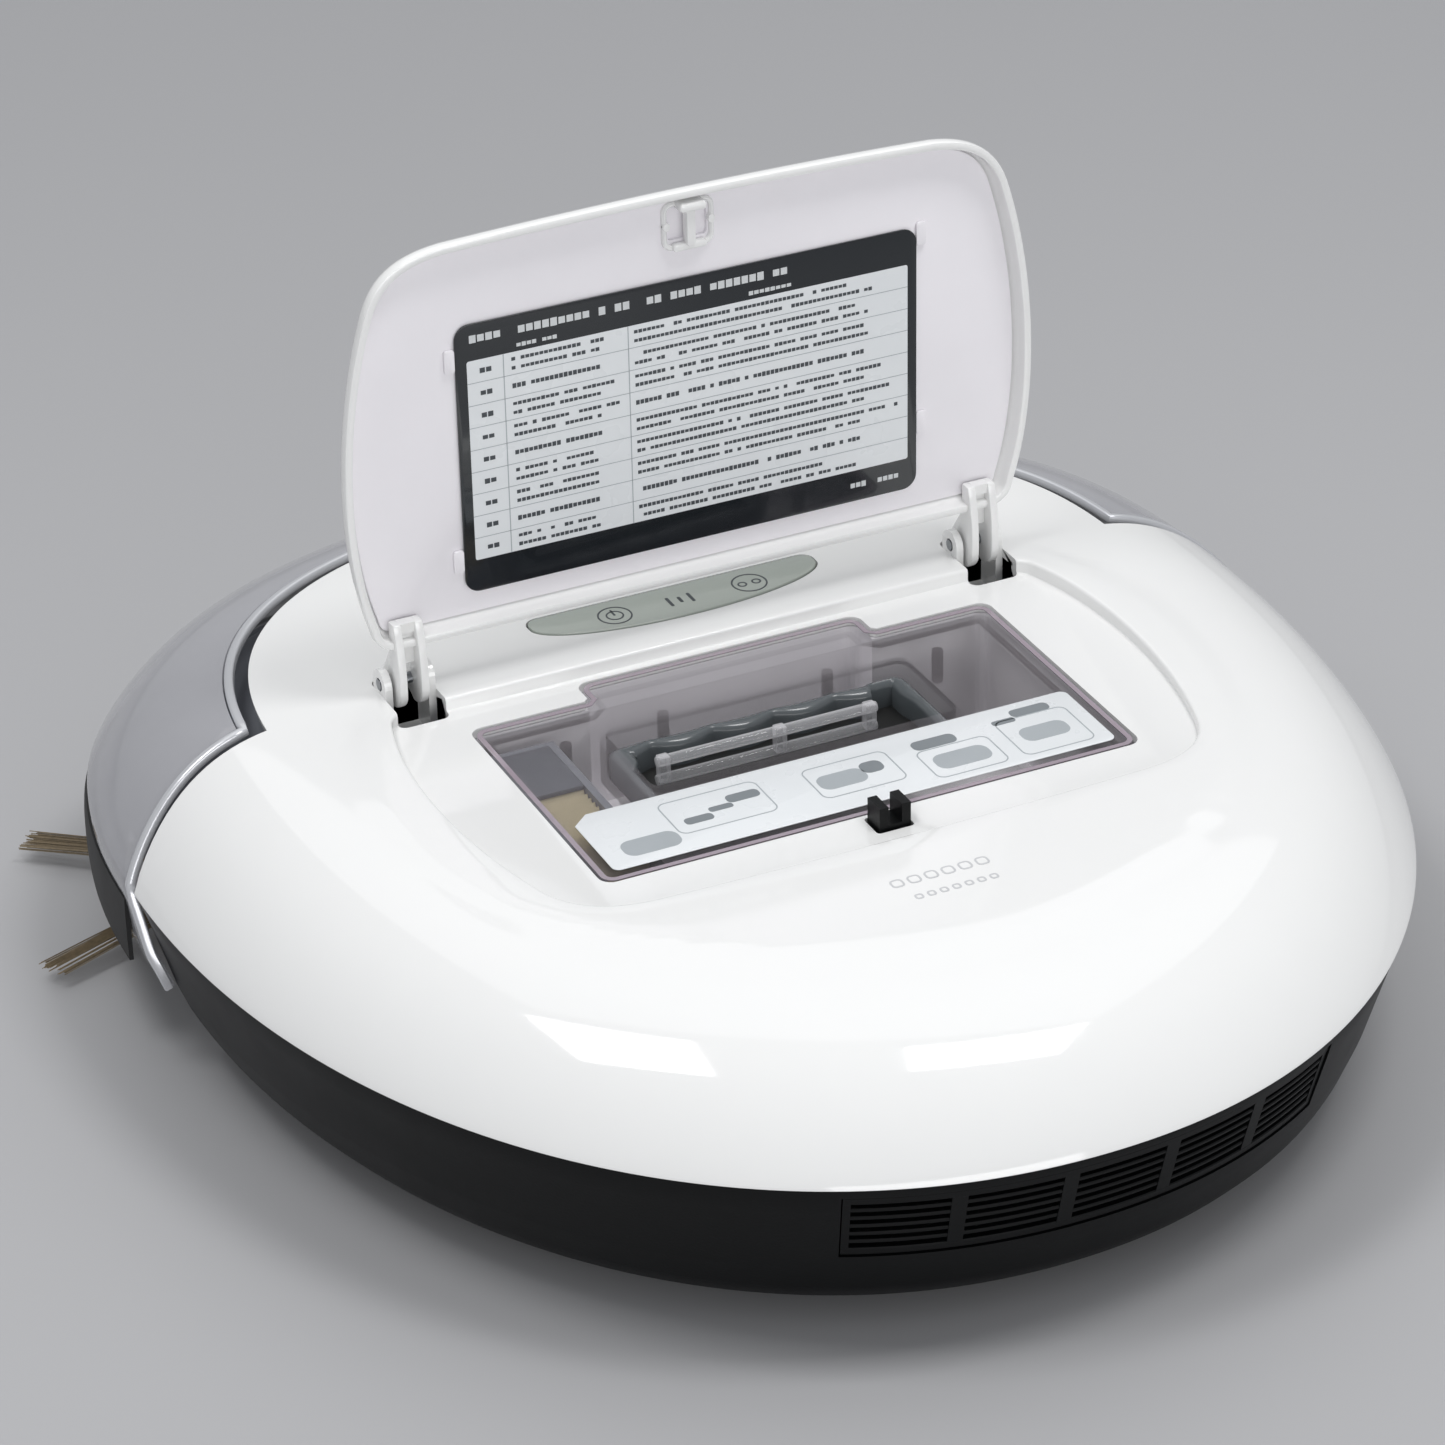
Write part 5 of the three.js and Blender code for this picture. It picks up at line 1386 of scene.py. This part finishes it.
class VACUUM_OT_side_brushes(PieceOperator, Operator):
    """Model the side brushes: a hub and bundles of single nylon bristles"""
    bl_idname = "vacuum.side_brushes"
    bl_label = "Side brushes"

    def execute(self, context):
        sizes = of("brush")
        for side, name in ((RIGHT, "right"), (LEFT, "left")):
            centre = mm(side * 108, 108)
            hub = loft(f"brush_hub_{name}", [at_height(circle(side * 108, 108, r, 40), z * MM) for r, z in
                                             ((9.5, 5.5), (11, 6.1), (11, 7.8), (10.2, 8.6), (4, 8.6), (3, 9.0),
                                              (3, 24))], start="flat", end="flat")
            finish(hub, f"side_brush_{name}", MATERIALS["hub_red"])
            strands = []
            draw = Draw(17)
            for arm in range(sizes.arms):
                angle = 2 * math.pi * (arm + 0.217) / sizes.arms - math.pi / 2
                for _ in range(sizes.bristles):
                    strands.append(self.strand(centre, side, angle, draw, sizes))
            tuft = self.draw_strands(f"bristles_{name}", strands)
            finish(tuft, f"side_brush_{name}", MATERIALS["bristle"], [f"side_brush_{name}"])
        return {"FINISHED"}

    def strand(self, centre, side, angle, draw, sizes):
        """The middle line of one bristle, fanning out and drooping to the floor."""
        angle = angle if side == RIGHT else math.pi - angle
        along = Vector((math.cos(angle), math.sin(angle), 0))
        across = Vector((-along.y, along.x, 0))
        spread = draw.next() * 2 - 1
        lift = draw.next() * 2 - 1
        reach = sizes.reach - 3.5 * MM * draw.next()
        points = []
        for share in (0.0, 0.35, 0.7, 1.0):
            out = 7 * MM + (reach - 7 * MM) * share
            wide = spread * (2.6 + 1.8 * share) * MM
            z = (6.9 + 1.3 * lift * (1 - 0.3 * share) - 2.2 * share ** 2) * MM
            points.append(centre + along * out + across * wide + Vector((0, 0, z)))
        return points

    def draw_strands(self, name, strands):
        """All the bristles of a brush: a three-sided tapered strand copied along each middle line."""
        thick = of("brush").bristle
        select_nothing()
        bpy.ops.mesh.primitive_circle_add(vertices=3, radius=thick / 2)
        piece = bpy.context.object
        piece.name = piece.data.name = name
        bpy.ops.object.mode_set(mode="EDIT")
        bpy.ops.mesh.select_all(action="SELECT")
        bpy.ops.mesh.edge_face_add()
        for _ in strands[0][1:]:
            bpy.ops.mesh.extrude_region()
            bpy.ops.transform.translate(value=(0, 0, MM))
        bpy.ops.object.mode_set(mode="OBJECT")
        array = piece.modifiers.new("Row", "ARRAY")
        array.count = len(strands)
        array.use_relative_offset = False
        array.use_constant_offset = True
        array.constant_offset_displace = (thick * 4, 0, 0)
        bpy.ops.object.modifier_apply(modifier=array.name)
        for vert in piece.data.vertices:
            number_of_strand = round(vert.co.x / (thick * 4))
            level = round(vert.co.z / MM)
            line = strands[number_of_strand]
            local = Vector((vert.co.x - number_of_strand * thick * 4, vert.co.y))
            ahead = (line[min(level + 1, 3)] - line[max(level - 1, 0)]).normalized()
            across = ahead.cross(Vector((0, 0, 1))).normalized()
            upward = across.cross(ahead)
            taper = 1 - 0.35 * level / 3
            vert.co = line[level] + (across * local.x + upward * local.y) * taper
        select_only(piece)
        bpy.ops.object.mode_set(mode="EDIT")
        bpy.ops.mesh.select_all(action="SELECT")
        bpy.ops.mesh.normals_make_consistent(inside=False)
        bpy.ops.object.mode_set(mode="OBJECT")
        return piece


CAD_FINISHES = {
    "cover": ("hinge_bracket_left", "hinge_bracket_right"),
    "inner": ("bin_well",),
    "base": ("latch_hook", "brush_housing", "caster_socket", "battery_cover", "fan_housing"),
    "grey": ("filter_frame", "caster_fork", "brush_guard", "impeller", "wheel_arm_left", "wheel_arm_right",
             "wheel_hub_left", "wheel_hub_right", "brush_bearing_left", "brush_bearing_right",
             "side_brush_motor_left", "side_brush_motor_right"),
    "rubber": ("caster_wheel", "power_switch"),
    "steel": ("hinge_pin_left", "hinge_pin_right", "arm_pivot_pin_left", "arm_pivot_pin_right",
              "suspension_spring_left", "suspension_spring_right", "caster_axle", "fan_motor"),
    "nickel": ("charge_contact_left", "charge_contact_right"),
    "blue": ("main_brush",),
    "board": ("circuit_board",),
    "sleeve": ("battery",),
}


class VACUUM_OT_running_gear(PieceOperator, Operator):
    """Give the working parts that keep their shape their finishes"""
    bl_idname = "vacuum.running_gear"
    bl_label = "Running gear"

    def execute(self, context):
        for finish_name, nodes in CAD_FINISHES.items():
            for name in nodes:
                part = frame["nodes"][name]
                part.data.materials.clear()
                part.data.materials.append(MATERIALS[finish_name])
        return {"FINISHED"}


def camera_axes():
    stage = of("stage")
    a, e, roll = stage.azimuth, stage.elevation, stage.roll
    back = Vector((math.sin(a) * math.cos(e), -math.cos(a) * math.cos(e), math.sin(e)))
    right = Vector((math.cos(a), math.sin(a), 0))
    up = back.cross(right)
    turned_right = right * math.cos(roll) + up * math.sin(roll)
    turned_up = up * math.cos(roll) - right * math.sin(roll)
    return right, up, back, turned_right, turned_up


def softbox(name, place, aim, width, height, power):
    data = bpy.data.lights.new(name, "AREA")
    data.shape = "RECTANGLE"
    data.size, data.size_y, data.energy = width, height, power
    lamp = bpy.data.objects.new(name, data)
    bpy.context.scene.collection.objects.link(lamp)
    lamp.location = place
    lamp.rotation_euler = (aim - place).to_track_quat("-Z", "Y").to_euler()
    return lamp


class VACUUM_OT_stage(PieceOperator, Operator):
    """Set up the pale floor, the soft lights and the camera"""
    bl_idname = "vacuum.stage"
    bl_label = "Stage"

    def execute(self, context):
        stage = of("stage")
        scene = context.scene
        right, up, back, turned_right, turned_up = camera_axes()
        data = bpy.data.cameras.new("camera")
        data.sensor_width, data.lens = 36, stage.lens
        camera = bpy.data.objects.new("camera", data)
        scene.collection.objects.link(camera)
        place = back * stage.distance - right * 18.3 * MM + up * 25.4 * MM + Vector((0, BIN_Y, 49 * MM))
        turned = Matrix((turned_right, turned_up, back)).transposed().to_4x4()
        camera.matrix_world = Matrix.Translation(place) @ turned
        data.clip_end = 20
        scene.camera = camera
        half = stage.floor_half / MM
        floor = plate("floor", [Vector((x * half * MM, y * half * MM, 0)) for x, y in
                                ((1, 1), (-1, 1), (-1, -1), (1, -1))], -0.02, 0.0)
        floor.data.materials.append(MATERIALS["floor"])
        aim = Vector((0, 0, 0.05))
        softbox("key_softbox", Vector((0.5, 1.0, 2.0)), aim, 2.4, 1.8, 8)
        softbox("fill_softbox", Vector((-0.2, -2.6, 0.6)), aim, 2.2, 0.9, 18.5)
        below = Vector((0, 0, -1))
        for name, place, width, depth, turn in (("left_window", Vector((-0.51, 0.05, 1.2)), 0.40, 0.38, -0.54),
                                                ("right_window", Vector((0.305, -0.29, 1.2)), 0.43, 0.28, -0.31)):
            window = softbox(name, place, place + below, width, depth, 4.4)
            window.rotation_euler = (0, 0, turn)
        world = bpy.data.worlds.new("studio")
        scene.world = world
        world.use_nodes = True
        background = world.node_tree.nodes["Background"]
        background.inputs["Color"].default_value = (0.9, 0.92, 0.95, 1)
        background.inputs["Strength"].default_value = 0.46
        scene.view_settings.view_transform = "Standard"
        return {"FINISHED"}


STEPS = (VACUUM_OT_materials, VACUUM_OT_stage, VACUUM_OT_cover, VACUUM_OT_panel, VACUUM_OT_base, VACUUM_OT_grille,
         VACUUM_OT_bumper, VACUUM_OT_front_cover, VACUUM_OT_trim, VACUUM_OT_strip, VACUUM_OT_lid, VACUUM_OT_label,
         VACUUM_OT_hinges, VACUUM_OT_bin, VACUUM_OT_wheels, VACUUM_OT_side_brushes, VACUUM_OT_running_gear)


class VACUUM_PT_sidebar(Panel):
    """Lists the steps that build the robot vacuum cleaner"""
    bl_idname = "VACUUM_PT_sidebar"
    bl_label = "Robot Vacuum"
    bl_space_type = "VIEW_3D"
    bl_region_type = "UI"
    bl_category = "Robot Vacuum"

    def draw(self, context):
        for step in STEPS:
            self.layout.operator(step.bl_idname)


def register():
    for kind in (*GROUPS, *STEPS, VACUUM_PT_sidebar):
        bpy.utils.register_class(kind)
    for name, kind in zip(("body", "bumper", "lid", "brush", "colours", "stage"), GROUPS):
        setattr(bpy.types.Scene, "vacuum_" + name, PointerProperty(type=kind))


def unregister():
    for name in ("body", "bumper", "lid", "brush", "colours", "stage"):
        delattr(bpy.types.Scene, "vacuum_" + name)
    for kind in reversed((*GROUPS, *STEPS, VACUUM_PT_sidebar)):
        bpy.utils.unregister_class(kind)


def main():
    register()
    for step in STEPS:
        group, name = step.bl_idname.split(".")
        getattr(getattr(bpy.ops, group), name)()


if __name__ == "__main__":
    main()
